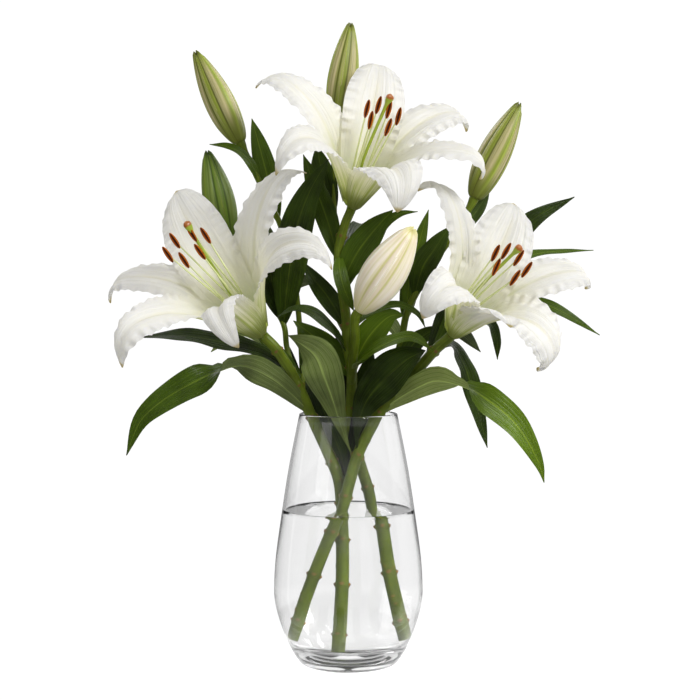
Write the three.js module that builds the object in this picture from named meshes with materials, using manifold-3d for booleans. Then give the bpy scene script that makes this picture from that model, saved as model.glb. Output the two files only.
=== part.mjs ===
// White lilies in a clear glass vase: three cut stems standing in water, with three open blooms,
// four green buds and one white bud about to open.
// Millimetres, +Z up. The origin is the centre of the vase's flat foot, and the front is -Y.

import * as THREE from "three";
import { mergeVertices } from "three/addons/utils/BufferGeometryUtils.js";
import Module from "manifold-3d";

const wasm = await Module();
wasm.setup();

// Vase and water. Profiles are [radius, height] from the foot's centre outwards and up.
const VASE_OUTSIDE = [
  [0, 0], [38, 0], [43.5, 2.5], [49, 9.5], [54.5, 20], [62, 40.5], [66.4, 58], [67.1, 73],
  [65.4, 100], [60.2, 138], [53.6, 180], [44.4, 226.6], [43.6, 228],
];
const VASE_INSIDE = [
  [42.4, 228], [42, 226.6], [51.2, 180], [57.4, 138], [62, 100], [63, 73], [61.4, 58],
  [56.2, 40.5], [47, 25], [36, 16.5], [20, 12.4], [0, 11],
];
const VASE_SIDES = 24;
const WATER_LEVEL = 140;
const CLEARANCE = 0.35;
const STEM_HOLE_CLEARANCE = 0.5;

// Stalks
const STALK_SIDES = 6;
const STALK_STEP = 22;
const STEM_RADIUS = [5.8, 4.7];
const BUD_STALK_RADIUS = [2.9, 3.6];
const STRAIGHT_END = 8;

// Leaves
const LEAF_THICKNESS = 0.9;
const LEAF_ROW_LENGTH = 22;
const LEAF_ROWS = [4, 8];
const LEAF_FOLD = 0.2;

// Blooms
const INNER_HALF_WIDTH = 33;
const OUTER_HALF_WIDTH = 27;
const INNER_RADIUS = 7;
const OUTER_RADIUS = 9;
const TEPAL_THICKNESS = 1.1;
const TEPAL_ROWS = 7;
const TEPAL_ACROSS = [1, 0.45, -0.45, -1];
const TEPAL_FIRST_LEAN = 24;
const TEPAL_CUP = 0.006;
const RUFFLE_DEPTH = 2;
const RUFFLES = 2;
const CUP_RADIUS = 9.6;
const CUP_HEIGHT = 3;
const DISC_SIDES = 12;
const STAMEN_DISC_RADIUS = 5.6;
const STAMEN_DISC_HEIGHT = 1.6;
const FILAMENT_RADIUS = [1.3, 0.8];
const FILAMENT_ROOT_RING = 3.8;
const FILAMENT_SIDES = 3;
const FILAMENT_STEPS = 4;
const ANTHER_LENGTH = 16;
const ANTHER_RADIUS = 2.1;
const ANTHER_SIDES = 5;
const ANTHER_STEPS = 3;
const OVARY_RADIUS = 2.7;
const STYLE_RADIUS = 1.5;
const STIGMA_RADIUS = 4;

// Buds
const BUD_SIDES = 12;
const BUD_ROWS = 6;
const BUD_BASE_RADIUS = 5;
const BUD_TIP_RADIUS = 1.3;

// Which way a leaf's upper side looks
const FRONT = [0, -1, 0.25];
const SKYWARD = [0, -0.6, 0.8];
const UNDERSIDE = [0, 1, 0.2];
const REAR = [0, 0.5, 0.85];
const TWISTED = [UNDERSIDE, UNDERSIDE, UNDERSIDE, [0, 0.2, 1], FRONT, FRONT, FRONT, FRONT];

// The stems' routes, from the cut foot in the water to the top. Side stalks start inside their stem.
const LEFT_STEM = {
  name: "stem_left",
  route: [
    [-5, -4, 14], [-5.5, -1, 75], [-6, 2.5, 143], [-9, 3, 168], [-18, 3, 191], [-33, 1, 224],
    [-43, -2, 248], [-53, -7, 268], [-65, -14, 287],
  ],
  bloom: "bloom_left",
  stalks: [
    {
      bud: "bud_left",
      route: [
        [-43, -1, 247], [-50, 9, 265], [-56, 17, 287], [-60, 22, 310], [-79, 26, 339], [-96, 27, 364],
      ],
    },
    {
      bud: "bud_upper_left",
      route: [
        [-41, 0, 244], [-42, 14, 266], [-44, 24, 298], [-48, 26, 339], [-56, 25, 375], [-63, 22, 401],
        [-78, 20, 431],
      ],
    },
  ],
  leaves: [
    {
      half: 11,
      faces: [SKYWARD],
      route: [[-51, -4, 266], [-77, -6, 283], [-113, -4, 292], [-152, 2, 298], [-188, 6, 296]],
    },
    {
      half: 14,
      faces: TWISTED,
      route: [
        [-33, 0, 227], [-43, -5, 238], [-53, -9, 248], [-68, -14, 260], [-85, -18, 269], [-100, -22, 272],
        [-125, -28, 263], [-149, -32, 251], [-170, -34, 237], [-185, -34, 221], [-196, -33, 193],
      ],
    },
    { half: 8, faces: [FRONT], route: [[-41, 0, 245], [-56, 8, 270], [-71, 10, 288], [-84, 10, 300]] },
    {
      half: 5.5,
      faces: [FRONT],
      route: [[-37, 1, 234], [-46, 16, 253], [-51, 21, 271], [-55, 27, 289]],
    },
    {
      half: 15,
      faces: [FRONT],
      route: [
        [-59, 21, 307], [-56, 13, 337], [-52, 8, 364], [-46, 6, 397], [-35, 8, 427], [-18, 13, 457],
      ],
    },
    {
      half: 12,
      faces: [FRONT],
      route: [[-61, 22, 312], [-65, 20, 330], [-70, 18, 350], [-71, 17, 364], [-67, 16, 384]],
    },
    {
      half: 10,
      faces: [FRONT],
      route: [[-64, 22, 401], [-71, 27, 430], [-79, 28, 462], [-88, 28, 495]],
    },
    {
      half: 6.5,
      faces: [SKYWARD],
      route: [[-81, 20, 437], [-89, 13, 454], [-98, 9, 463], [-111, 7, 468], [-125, 7, 470]],
    },
    {
      half: 14,
      faces: [REAR],
      route: [[-43, -2, 250], [-75, 35, 285], [-105, 62, 297], [-130, 82, 280]],
    },
    {
      half: 12,
      faces: [REAR],
      route: [[-50, 26, 352], [-75, 50, 390], [-95, 72, 402], [-110, 88, 393]],
    },
  ],
};
const RIGHT_STEM = {
  name: "stem_right",
  route: [
    [-36, -7, 22], [-20, -8.5, 80], [-3, -9.5, 143], [1.5, -9.5, 168], [10, -9.5, 195], [26, -10, 226],
    [35, -12, 239], [45, -14, 250], [64, -19, 271], [77, -23, 286],
  ],
  bloom: "bloom_right",
  stalks: [
    {
      bud: "bud_right",
      route: [
        [31, -11, 233], [39, 2, 262], [48, 9, 294], [53, 12, 318], [63, 14, 339], [80, 16, 368],
        [99, 16, 395],
      ],
    },
  ],
  leaves: [
    {
      half: 19,
      faces: [FRONT, FRONT, FRONT, FRONT, SKYWARD, [0.3, 0, 1]],
      route: [
        [6, -10, 184], [-3, -14, 207], [-9, -18, 225], [-14, -25, 242], [-21, -34, 262],
        [-28, -37, 280], [-39, -36, 290], [-53, -31, 299],
      ],
    },
    {
      half: 17.5,
      faces: [FRONT, FRONT, SKYWARD],
      route: [
        [8, -10, 188], [8, -18, 214], [16, -25, 240], [32, -30, 260], [51, -34, 277], [68, -36, 286],
      ],
    },
    {
      half: 13.5,
      faces: TWISTED,
      route: [
        [26, -10, 227], [37, -15, 237], [50, -20, 246], [64, -25, 254], [79, -28, 259], [102, -31, 254],
        [123, -34, 242], [144, -35, 225], [158, -36, 206], [169, -35, 184], [173, -34, 169],
      ],
    },
    {
      half: 9,
      faces: [SKYWARD],
      route: [[75, -22, 284], [91, -4, 290], [104, 4, 272], [113, 8, 245], [126, 8, 196]],
    },
    {
      half: 7.5,
      faces: [SKYWARD],
      route: [[82, -23, 292], [109, -4, 314], [126, 4, 310], [134, 8, 294], [135, 9, 276]],
    },
    {
      half: 6.5,
      faces: [FRONT],
      route: [[79, -22, 289], [107, -2, 314], [142, 8, 326], [183, 12, 324], [228, 12, 298]],
    },
    {
      half: 7,
      faces: [SKYWARD],
      route: [[74, -20, 282], [99, 4, 325], [137, 14, 359], [174, 18, 372], [223, 20, 375]],
    },
    {
      half: 13,
      faces: [FRONT],
      route: [[70, -20, 278], [94, 10, 321], [127, 24, 359], [166, 30, 401], [207, 32, 424]],
    },
    { half: 7, faces: [FRONT], route: [[108, 16, 408], [118, 24, 416], [129, 28, 430]] },
    { half: 7.5, faces: [FRONT], route: [[53, 12, 317], [56, 19, 353], [65, 22, 384], [73, 22, 412]] },
    { half: 11, faces: [FRONT], route: [[60, 13, 334], [67, 5, 359], [79, 3, 378], [91, 3, 396]] },
    { half: 8, faces: [FRONT], route: [[51, 11, 310], [56, 24, 343], [58, 27, 359], [59, 28, 374]] },
    { half: 8, faces: [FRONT], route: [[46, -14, 251], [55, -4, 285], [69, -1, 299], [88, -1, 307]] },
    { half: 14, faces: [REAR], route: [[42, -13, 247], [70, 30, 290], [100, 60, 300], [125, 82, 280]] },
    { half: 12, faces: [REAR], route: [[57, 13, 326], [80, 45, 370], [100, 70, 380], [115, 90, 370]] },
  ],
};
const MIDDLE_STEM = {
  name: "stem_middle",
  route: [
    [36, 9, 22], [29, 9.5, 80], [21, 10, 146], [12, 11, 177], [5, 12, 200], [2, 11, 224], [3, 11, 248],
    [3, 11, 267], [-1, 11, 290], [-2, 11, 314], [-6, 11, 341], [-9, 10, 363], [-8, 9, 379], [-3, 5, 398],
  ],
  bloom: "bloom_top",
  stalks: [
    { bud: "bud_white", route: [[3, 10, 254], [4, 4, 274], [6, -8, 294]] },
    {
      bud: "bud_top",
      route: [[-9, 10, 368], [-12, 20, 384], [-13, 28, 403], [-13, 33, 421], [-13, 36, 453]],
    },
  ],
  leaves: [
    {
      half: 9.5,
      faces: [SKYWARD],
      route: [
        [4, 4, 268], [12, -9, 277], [26, -21, 287], [44, -30, 296], [58, -35, 297], [74, -38, 286],
      ],
    },
    {
      half: 12.5,
      faces: [FRONT],
      route: [[4, 10, 270], [16, 2, 293], [28, -2, 308], [39, -3, 316], [50, -4, 316]],
    },
    {
      half: 5.5,
      faces: [SKYWARD],
      route: [[-1, 11, 298], [15, 4, 316], [33, 1, 323], [48, -2, 325], [62, -6, 318], [69, -8, 305]],
    },
    {
      half: 7.5,
      faces: [SKYWARD],
      route: [[-1, 10, 282], [-15, -4, 304], [-32, -11, 318], [-49, -13, 322], [-63, -12, 315]],
    },
    { half: 6.5, faces: [FRONT], route: [[-8, 9, 371], [-8, -1, 359], [-4, -6, 341], [5, -8, 320]] },
    {
      half: 10,
      faces: [FRONT],
      route: [[-9, 11, 366], [-19, 19, 402], [-31, 22, 434], [-41, 23, 462]],
    },
    {
      half: 11,
      faces: [FRONT],
      route: [[-13, 31, 410], [-20, 33, 430], [-25, 34, 450], [-29, 34, 471]],
    },
    { half: 13, faces: [FRONT], route: [[-6, 10, 344], [6, 5, 369], [21, 4, 390], [40, 4, 411]] },
    {
      half: 6,
      faces: [FRONT],
      route: [[-5, 12, 336], [12, 17, 371], [31, 18, 397], [47, 18, 408], [63, 18, 410]],
    },
    { half: 10, faces: [FRONT], route: [[2, 12, 260], [-15, 17, 283], [-33, 17, 298], [-50, 16, 311]] },
    { half: 9, faces: [FRONT], route: [[-3, 12, 306], [-17, 22, 330], [-30, 26, 347], [-41, 28, 364]] },
    { half: 13, faces: [REAR], route: [[3, 12, 256], [20, 45, 295], [38, 75, 305], [50, 100, 290]] },
    { half: 13, faces: [REAR], route: [[-2, 12, 296], [-25, 45, 335], [-45, 75, 345], [-62, 98, 330]] },
    { half: 12, faces: [REAR], route: [[-7, 12, 344], [5, 40, 385], [12, 65, 400], [16, 88, 395]] },
    { half: 10, faces: [REAR], route: [[-13, 35, 436], [-5, 60, 475], [0, 80, 490], [2, 98, 485]] },
  ],
};
const STEMS = [LEFT_STEM, MIDDLE_STEM, RIGHT_STEM];

// Tepals: azimuth about the bloom's axis, length, last lean from the axis, how late it curls, sideways
// sweep of the tip and roll of the blade, with the angles in degrees. Inner and outer tepals alternate.
const BLOOMS = {
  bloom_left: {
    base: [-79, -22, 303],
    axis: [-0.445, -0.629, 0.637],
    stigma: [-140, -71, 398],
    anthers: [-137, -80, 378],
    spread: 18,
    tepals: [
      [43, 147, 79, 1.7, -5, 0], [-14, 156, 116, 1.9, -14, 0], [-71, 156, 132, 2.4, -24, 0],
      [-139, 156, 115, 2.4, 3, 0], [-228, 156, 170, 2.4, 12, 0], [-272, 156, 138, 2.15, 24, 0],
    ],
  },
  bloom_top: {
    base: [4, 0, 417],
    axis: [0.2, -0.629, 0.751],
    stigma: [37, -50, 509],
    anthers: [29, -58, 489],
    spread: 16,
    tepals: [
      [-20, 129, 86, 1.6, 6, 0], [-59, 147, 143, 1.9, -20, 0], [-103, 147, 160, 2.4, -4, 0],
      [-181, 156, 122, 2.4, -8, 0], [-249, 156, 123, 2.4, 24, 0], [-319, 148, 131, 2.15, 16, 0],
    ],
  },
  bloom_right: {
    base: [93, -28, 303],
    axis: [0.365, -0.629, 0.686],
    stigma: [147, -85, 377],
    anthers: [138, -82, 363],
    spread: 16,
    tepals: [
      [-39, 128, 88, 1.6, 7, 0], [-84, 155, 147, 1.9, -12, 0], [-145, 118, 172, 2.4, -15, 0],
      [-156, 100, 165, 1.8, 6, 0], [-249, 154, 118, 2.4, 23, 0], [-353, 150, 139, 2.4, 8, 0],
    ],
  },
};

// Buds: where each is seated on its stalk, its tip and its greatest radius
const BUDS = {
  bud_left: { base: [-110, 26, 384], tip: [-129, 24, 466], radius: 14.5 },
  bud_upper_left: { base: [-98, 19, 473], tip: [-139, 22, 556], radius: 13.5 },
  bud_top: { base: [-10, 36, 493], tip: [2, 34, 583], radius: 14 },
  bud_right: { base: [114, 15, 422], tip: [155, 10, 508], radius: 14.5 },
  bud_white: { base: [10, -22, 320], tip: [57, -45, 394], radius: 20 },
};

const COLOURS = {
  glass: { color: 0xe9f0ef, roughness: 0.03, metalness: 0, transparent: true, opacity: 0.35 },
  water: { color: 0xdfeaea, roughness: 0.02, metalness: 0, transparent: true, opacity: 0.4 },
  stem: { color: 0x3f6423, roughness: 0.5, metalness: 0 },
  tepal: { color: 0xf4f2e8, roughness: 0.55, metalness: 0 },
  stamen: { color: 0x9a4a16, roughness: 0.8, metalness: 0 },
  pistil: { color: 0x9aa83a, roughness: 0.4, metalness: 0 },
  bud: { color: 0x9fae6a, roughness: 0.5, metalness: 0 },
  whiteBud: { color: 0xe9e6d2, roughness: 0.5, metalness: 0 },
};

const vector = ([x, y, z]) => new THREE.Vector3(x, y, z);
const mix = ([from, to], u) => from + (to - from) * u;
const smooth = (points) => new THREE.CatmullRomCurve3(points, false, "catmullrom", 0.5);
const moved = (point, direction, distance) => point.clone().addScaledVector(direction, distance);

// The direction that lies the given number of degrees from one direction towards a square one.
function turned(from, towards, degrees) {
  const angle = THREE.MathUtils.degToRad(degrees);
  return from.clone().multiplyScalar(Math.cos(angle)).addScaledVector(towards, Math.sin(angle));
}

function solid(points, triangles) {
  const vertProperties = new Float32Array(points.flatMap((point) => point.toArray()));
  const triVerts = new Uint32Array(triangles);
  return new wasm.Manifold(new wasm.Mesh({ numProp: 3, vertProperties, triVerts }));
}

// A closed body through rings of points that run anticlockwise about the direction of travel.
function loft(rings) {
  const sides = rings[0].length;
  const sum = (ring) => ring.reduce((total, point) => total.add(point), new THREE.Vector3());
  const middle = (ring) => sum(ring).divideScalar(sides);
  const points = rings.flat();
  const start = points.push(middle(rings[0])) - 1;
  const end = points.push(middle(rings.at(-1))) - 1;
  const last = (rings.length - 1) * sides;
  const triangles = [];
  for (let j = 0; j < sides; j += 1) {
    const next = (j + 1) % sides;
    triangles.push(start, next, j, end, last + j, last + next);
    for (let row = 0; row < last; row += sides) {
      const [a, b, c, d] = [row + j, row + next, row + sides + next, row + sides + j];
      triangles.push(a, b, c, a, c, d);
    }
  }
  return solid(points, triangles);
}

// A thin sheet from rows of { at, normal }: both faces are split along the same diagonals.
function sheet(rows, thickness) {
  const across = rows[0].length;
  const face = (side) => rows.flat().map(({ at, normal }) => moved(at, normal, side * thickness));
  const faces = [face(0.5), face(-0.5)];
  const behind = faces[0].length;
  const triangles = [];
  const wall = (from, to) => triangles.push(from, to, to + behind, from, to + behind, from + behind);
  for (let i = 0; i < rows.length - 1; i += 1) {
    for (let j = 0; j < across - 1; j += 1) {
      const a = i * across + j;
      const b = a + across;
      const c = b + 1;
      const d = a + 1;
      triangles.push(a, d, c, a, c, b);
      triangles.push(a + behind, c + behind, d + behind, a + behind, b + behind, c + behind);
      if (j === 0) wall(a, b);
      if (j === across - 2) wall(c, d);
      if (i === 0) wall(d, a);
      if (i === rows.length - 2) wall(b, c);
    }
  }
  return solid(faces.flat(), triangles);
}

// A round stalk along a curve. The radius is a function of the fraction along and the angle round it.
function stalk(curve, radius, sides, steps) {
  const { normals, binormals } = curve.computeFrenetFrames(steps, false);
  const rings = normals.map((normal, i) => {
    const centre = curve.getPointAt(i / steps);
    return Array.from({ length: sides }, (_, j) => {
      const angle = (2 * Math.PI * j) / sides;
      const reach = radius(i / steps, angle);
      return centre.clone()
        .addScaledVector(normal, reach * Math.cos(angle))
        .addScaledVector(binormals[i], reach * Math.sin(angle));
    });
  });
  return loft(rings);
}

function lathed(profile) {
  const corners = profile.map(([radius, height]) => new THREE.Vector2(radius, height));
  const lathe = new THREE.LatheGeometry(corners, VASE_SIDES).rotateX(Math.PI / 2);
  lathe.deleteAttribute("normal");
  lathe.deleteAttribute("uv");
  const welded = mergeVertices(lathe, 0.001);
  const index = Array.from(welded.getIndex().array);
  const triangles = [];
  for (let k = 0; k < index.length; k += 3) {
    const corner = index.slice(k, k + 3);
    if (new Set(corner).size === 3) triangles.push(...corner);
  }
  const place = welded.getAttribute("position");
  const point = (_, k) => new THREE.Vector3().fromBufferAttribute(place, k);
  const points = Array.from({ length: place.count }, point);
  return solid(points, triangles);
}

// Joins bodies in one and keeps the largest, with no sealed hollow inside it.
function fused(solids) {
  const pieces = solids.reduce((whole, next) => whole.add(next)).decompose();
  return pieces.reduce((best, next) => (next.volume() > best.volume() ? next : best));
}

function meshOf(name, body, colour) {
  const { vertProperties, triVerts } = body.getMesh();
  const geometry = new THREE.BufferGeometry();
  geometry.setAttribute("position", new THREE.BufferAttribute(vertProperties, 3));
  geometry.setIndex(new THREE.BufferAttribute(triVerts, 1));
  const mesh = new THREE.Mesh(geometry, new THREE.MeshStandardMaterial(colour));
  mesh.name = name;
  return mesh;
}

// A leaf is widest a third of the way along and folded up a little on both sides of its midrib.
const leafWidth = (u) => ((u + 0.03) ** 0.7 * (1 - u) ** 0.95) / 0.3468;

function leaf({ route, half, faces }) {
  const curve = smooth(route.map(vector));
  const looks = faces.map(vector);
  const steps = THREE.MathUtils.clamp(Math.round(curve.getLength() / LEAF_ROW_LENGTH), ...LEAF_ROWS);
  const rows = [];
  for (let i = 0; i <= steps; i += 1) {
    const u = i / steps;
    const place = u * (looks.length - 1);
    const before = looks[Math.floor(place)];
    const look = before.clone().lerp(looks[Math.ceil(place)], place - Math.floor(place));
    const tangent = curve.getTangentAt(u);
    const side = tangent.clone().cross(look).normalize();
    const normal = side.clone().cross(tangent);
    const width = Math.max(half * leafWidth(u), 0.5);
    const centre = curve.getPointAt(u);
    rows.push([-1, 0, 1].map((v) => {
      const at = moved(moved(centre, side, width * v), normal, LEAF_FOLD * width * Math.abs(v));
      return { at, normal };
    }));
  }
  return sheet(rows, LEAF_THICKNESS);
}

function bloomFrame({ base, axis }) {
  const along = vector(axis).normalize();
  const up = new THREE.Vector3(0, 0, 1).addScaledVector(along, -along.z).normalize();
  return { base: vector(base), along, up, side: along.clone().cross(up) };
}

// A tepal leans out from the axis more and more towards its tip. Across, it is an arc about the axis
// that flattens as it leans out, with a ruffled edge.
const tepalWidth = (u) => ((u + 0.07) ** 0.85 * (1 - u) ** 0.7) / 0.3806;

function tepal(frame, [azimuth, length, lastLean, curl, sweep, roll], inner) {
  const outwards = turned(frame.up, frame.side, azimuth);
  const sideways = turned(frame.side, frame.up, -azimuth);
  const half = inner ? INNER_HALF_WIDTH : OUTER_HALF_WIDTH;
  const step = length / TEPAL_ROWS;
  const leanAt = (u) => mix([TEPAL_FIRST_LEAN, lastLean], u ** curl);
  let reach = inner ? INNER_RADIUS : OUTER_RADIUS;
  let rise = 0;
  const rows = [];
  for (let i = 0; i <= TEPAL_ROWS; i += 1) {
    const u = i / TEPAL_ROWS;
    if (i > 0) {
      const between = THREE.MathUtils.degToRad(leanAt(u - 0.5 / TEPAL_ROWS));
      reach += Math.sin(between) * step;
      rise += Math.cos(between) * step;
    }
    const lean = leanAt(u);
    const drift = sweep * Math.max((u - 0.25) / 0.75, 0) ** 2;
    const centre = moved(moved(moved(frame.base, frame.along, rise), outwards, reach), sideways, drift);
    const tilt = roll * Math.max((u - 0.15) / 0.85, 0);
    const inward = turned(outwards.clone().negate(), frame.along, lean);
    const across = turned(sideways, inward, tilt);
    const facing = turned(inward, sideways, -tilt);
    const cosLean = Math.cos(THREE.MathUtils.degToRad(lean));
    const bend = cosLean / Math.max(reach, 4) + TEPAL_CUP * Math.sin(Math.PI * u) + 0.00001;
    const width = Math.max(half * tepalWidth(u), 0.8);
    rows.push(TEPAL_ACROSS.map((v) => {
      const angle = bend * width * v;
      const wave = Math.sin(2 * Math.PI * RUFFLES * u + 2 * Math.sign(v)) * Math.abs(v) ** 2.5;
      const lift = (1 - Math.cos(angle)) / bend + RUFFLE_DEPTH * Math.sin(Math.PI * u) * wave;
      const at = moved(moved(centre, across, Math.sin(angle) / bend), facing, lift);
      const normal = turned(facing, across, -THREE.MathUtils.radToDeg(angle));
      return { at, normal };
    }));
  }
  return sheet(rows, TEPAL_THICKNESS);
}

function disc(frame, from, to, radius) {
  const ends = [from, to].map((height) => moved(frame.base, frame.along, height));
  const axis = new THREE.LineCurve3(...ends);
  return stalk(axis, () => radius, DISC_SIDES, 1);
}

function perianth(bloom) {
  const frame = bloomFrame(bloom);
  const tepals = bloom.tepals.map((shape, k) => tepal(frame, shape, k % 2 === 0));
  return fused([disc(frame, 0, CUP_HEIGHT, CUP_RADIUS), ...tepals]);
}

// Six filaments on one disc bend to a ring of anthers that all lie the same way.
const STAMEN_START = CUP_HEIGHT + CLEARANCE;
const PISTIL_START = STAMEN_START + STAMEN_DISC_HEIGHT + CLEARANCE;

function stamens(bloom) {
  const frame = bloomFrame(bloom);
  const top = STAMEN_START + STAMEN_DISC_HEIGHT;
  const ringCentre = vector(bloom.anthers);
  const antherAxis = new THREE.Vector3(frame.along.x, 0, frame.along.z).normalize();
  const bodies = [disc(frame, STAMEN_START, top, STAMEN_DISC_RADIUS)];
  for (let k = 0; k < 6; k += 1) {
    const outwards = turned(frame.up, frame.side, 60 * k);
    const root = moved(moved(frame.base, frame.along, STAMEN_START + 0.4), outwards, FILAMENT_ROOT_RING);
    const low = moved(moved(frame.base, frame.along, top + 30), outwards, FILAMENT_ROOT_RING + 3.5);
    const tip = moved(ringCentre, outwards, bloom.spread);
    const filament = smooth([root, low, tip]);
    bodies.push(stalk(filament, (u) => mix(FILAMENT_RADIUS, u), FILAMENT_SIDES, FILAMENT_STEPS));
    const anther = new THREE.LineCurve3(
      moved(tip, antherAxis, -0.45 * ANTHER_LENGTH),
      moved(tip, antherAxis, 0.55 * ANTHER_LENGTH),
    );
    const swelling = (u) => ANTHER_RADIUS * (0.35 + 0.65 * Math.sin(Math.PI * u));
    bodies.push(stalk(anther, swelling, ANTHER_SIDES, ANTHER_STEPS));
  }
  return fused(bodies);
}

// A long ovary, a slender style and a stigma of three lobes.
function pistil(bloom) {
  const frame = bloomFrame(bloom);
  const heights = [PISTIL_START, PISTIL_START + 22, PISTIL_START + 50];
  const route = heights.map((height) => moved(frame.base, frame.along, height));
  const radius = (u, angle) => {
    if (u > 0.93) return STIGMA_RADIUS * (1 + 0.2 * Math.cos(3 * angle));
    return u < 0.22 ? OVARY_RADIUS : mix([STYLE_RADIUS, STYLE_RADIUS + 0.3], u);
  };
  return stalk(smooth([...route, vector(bloom.stigma)]), radius, 6, 10);
}

// A bud swells from its seat, is fullest at two fifths and narrows to a small three-ribbed tip.
function bud({ base, tip, radius }) {
  const axis = new THREE.LineCurve3(vector(base), vector(tip));
  const section = (u, angle) => {
    const core = mix([BUD_BASE_RADIUS, BUD_TIP_RADIUS], u);
    const swell = Math.max(Math.sin(Math.PI * u ** 0.75), 0) ** 0.85;
    return (core + (radius - core) * swell) * (1 + 0.06 * swell * Math.cos(3 * angle));
  };
  return stalk(axis, section, BUD_SIDES, BUD_ROWS);
}

// A stalk's route ends straight on the axis of what it carries, just clear of its seat.
function stalkCurve(route, seat, axis) {
  const end = [moved(seat, axis, -STRAIGHT_END), moved(seat, axis, -CLEARANCE)];
  return smooth([...route.map(vector), ...end]);
}

const stepsAlong = (curve) => Math.max(3, Math.round(curve.getLength() / STALK_STEP));

function mainStalk(stem, extraRadius = 0) {
  const { base, along } = bloomFrame(BLOOMS[stem.bloom]);
  const curve = stalkCurve(stem.route, base, along);
  return stalk(curve, (u) => mix(STEM_RADIUS, u) + extraRadius, STALK_SIDES, stepsAlong(curve));
}

function leafyStem(stem) {
  const sideStalks = stem.stalks.map(({ bud: name, route }) => {
    const seat = vector(BUDS[name].base);
    const axis = vector(BUDS[name].tip).sub(seat).normalize();
    const curve = stalkCurve(route, seat, axis);
    return stalk(curve, (u) => mix(BUD_STALK_RADIUS, u), STALK_SIDES, stepsAlong(curve));
  });
  return fused([mainStalk(stem), ...sideStalks, ...stem.leaves.map(leaf)]);
}

// The water fills the vase just inside the glass and has a plain hole round each stem.
function water() {
  const wetted = VASE_INSIDE.filter(([, height]) => height < WATER_LEVEL);
  const [[topRadius]] = wetted;
  const inwards = ([radius, height]) => [Math.max(radius - CLEARANCE, 0), height + CLEARANCE];
  const profile = wetted.map(inwards).reverse();
  const body = lathed([...profile, [topRadius - CLEARANCE, WATER_LEVEL], [0, WATER_LEVEL]]);
  return fused([STEMS.reduce((rest, stem) => rest.subtract(mainStalk(stem, STEM_HOLE_CLEARANCE)), body)]);
}

const lilies = new THREE.Group();
lilies.add(meshOf("vase", lathed([...VASE_OUTSIDE, ...VASE_INSIDE]), COLOURS.glass));
lilies.add(meshOf("water", water(), COLOURS.water));
for (const stem of STEMS) {
  lilies.add(meshOf(stem.name, leafyStem(stem), COLOURS.stem));
}
for (const [name, bloom] of Object.entries(BLOOMS)) {
  lilies.add(meshOf(`${name}_tepals`, perianth(bloom), COLOURS.tepal));
  lilies.add(meshOf(`${name}_stamens`, stamens(bloom), COLOURS.stamen));
  lilies.add(meshOf(`${name}_pistil`, pistil(bloom), COLOURS.pistil));
}
for (const [name, shape] of Object.entries(BUDS)) {
  lilies.add(meshOf(name, bud(shape), name === "bud_white" ? COLOURS.whiteBud : COLOURS.bud));
}

export default lilies;
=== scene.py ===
"""White lilies in a clear glass vase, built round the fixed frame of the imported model.

Three cut stems stand in water and carry three open blooms, four green buds and one white bud. Places
and sizes in the tables are in millimetres, as in the model's source, unless a comment says metres.
They become metres where a mesh is made.
"""

import bpy
import numpy as np
from bpy.props import FloatProperty, FloatVectorProperty, IntProperty, PointerProperty
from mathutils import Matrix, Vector


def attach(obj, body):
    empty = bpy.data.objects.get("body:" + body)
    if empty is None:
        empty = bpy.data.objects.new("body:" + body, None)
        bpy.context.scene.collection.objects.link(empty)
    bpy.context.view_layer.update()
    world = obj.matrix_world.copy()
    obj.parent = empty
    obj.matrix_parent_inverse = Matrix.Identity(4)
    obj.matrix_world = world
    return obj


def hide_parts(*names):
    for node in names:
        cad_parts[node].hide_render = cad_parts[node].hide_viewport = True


bl_info = {
    "name": "Lilies in a Vase",
    "version": (1, 0, 0),
    "blender": (4, 5, 0),
    "location": "View3D > Sidebar > Lilies",
    "description": "White lilies with buds and leaves in a clear glass vase of water",
    "category": "Add Mesh",
}

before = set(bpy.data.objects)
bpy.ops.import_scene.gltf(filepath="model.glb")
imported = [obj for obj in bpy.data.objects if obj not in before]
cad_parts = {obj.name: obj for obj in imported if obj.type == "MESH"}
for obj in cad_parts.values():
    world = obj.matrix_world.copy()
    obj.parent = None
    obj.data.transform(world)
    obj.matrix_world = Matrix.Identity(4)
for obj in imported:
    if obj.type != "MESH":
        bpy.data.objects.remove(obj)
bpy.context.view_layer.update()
BODY = "root"
MM = 0.001
SEED = 11
CIRCLE = 2 * np.pi

# Vase and water: radius and height of each point, from the middle of the foot round to the inside floor
VASE_OUTSIDE = [
    (38, 0), (43.5, 2.5), (49, 9.5), (54.5, 20), (62, 40.5), (66.4, 58), (67.1, 73), (65.4, 100),
    (60.2, 138), (53.6, 180), (44.4, 226.6),
]
VASE_INSIDE = [
    (42, 226.6), (51.2, 180), (57.4, 138), (62, 100), (63, 73), (61.4, 58), (56.2, 40.5), (47, 25),
    (36, 16.5), (20, 12.4), (0, 11),
]
RIM_HEIGHT = 228
FOOT_RECESS = [(0, 0.9), (24, 0.8), (31, 0)]
SPAN_STEPS = 6
TURNED_SIDES = 160
LEAST_RADIUS = 0.02
WATER_LEVEL = 140
WATER_INTO_GLASS = 0.12
WALL_FROM = 30
FLOOR_TO = 40
MENISCUS_HEIGHT = 1.3
MENISCUS_WIDTH = 3.0
GLASS_IOR = 1.5
# Painted shade: grey tints of the glass and the water where they are seen edge on, for dark
# surroundings
GLASS_EDGE_SHADE = (0.70, 0.72, 0.72)
WATER_IOR = 1.26
WATER_EDGE_SHADE = (0.80, 0.84, 0.78)

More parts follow.
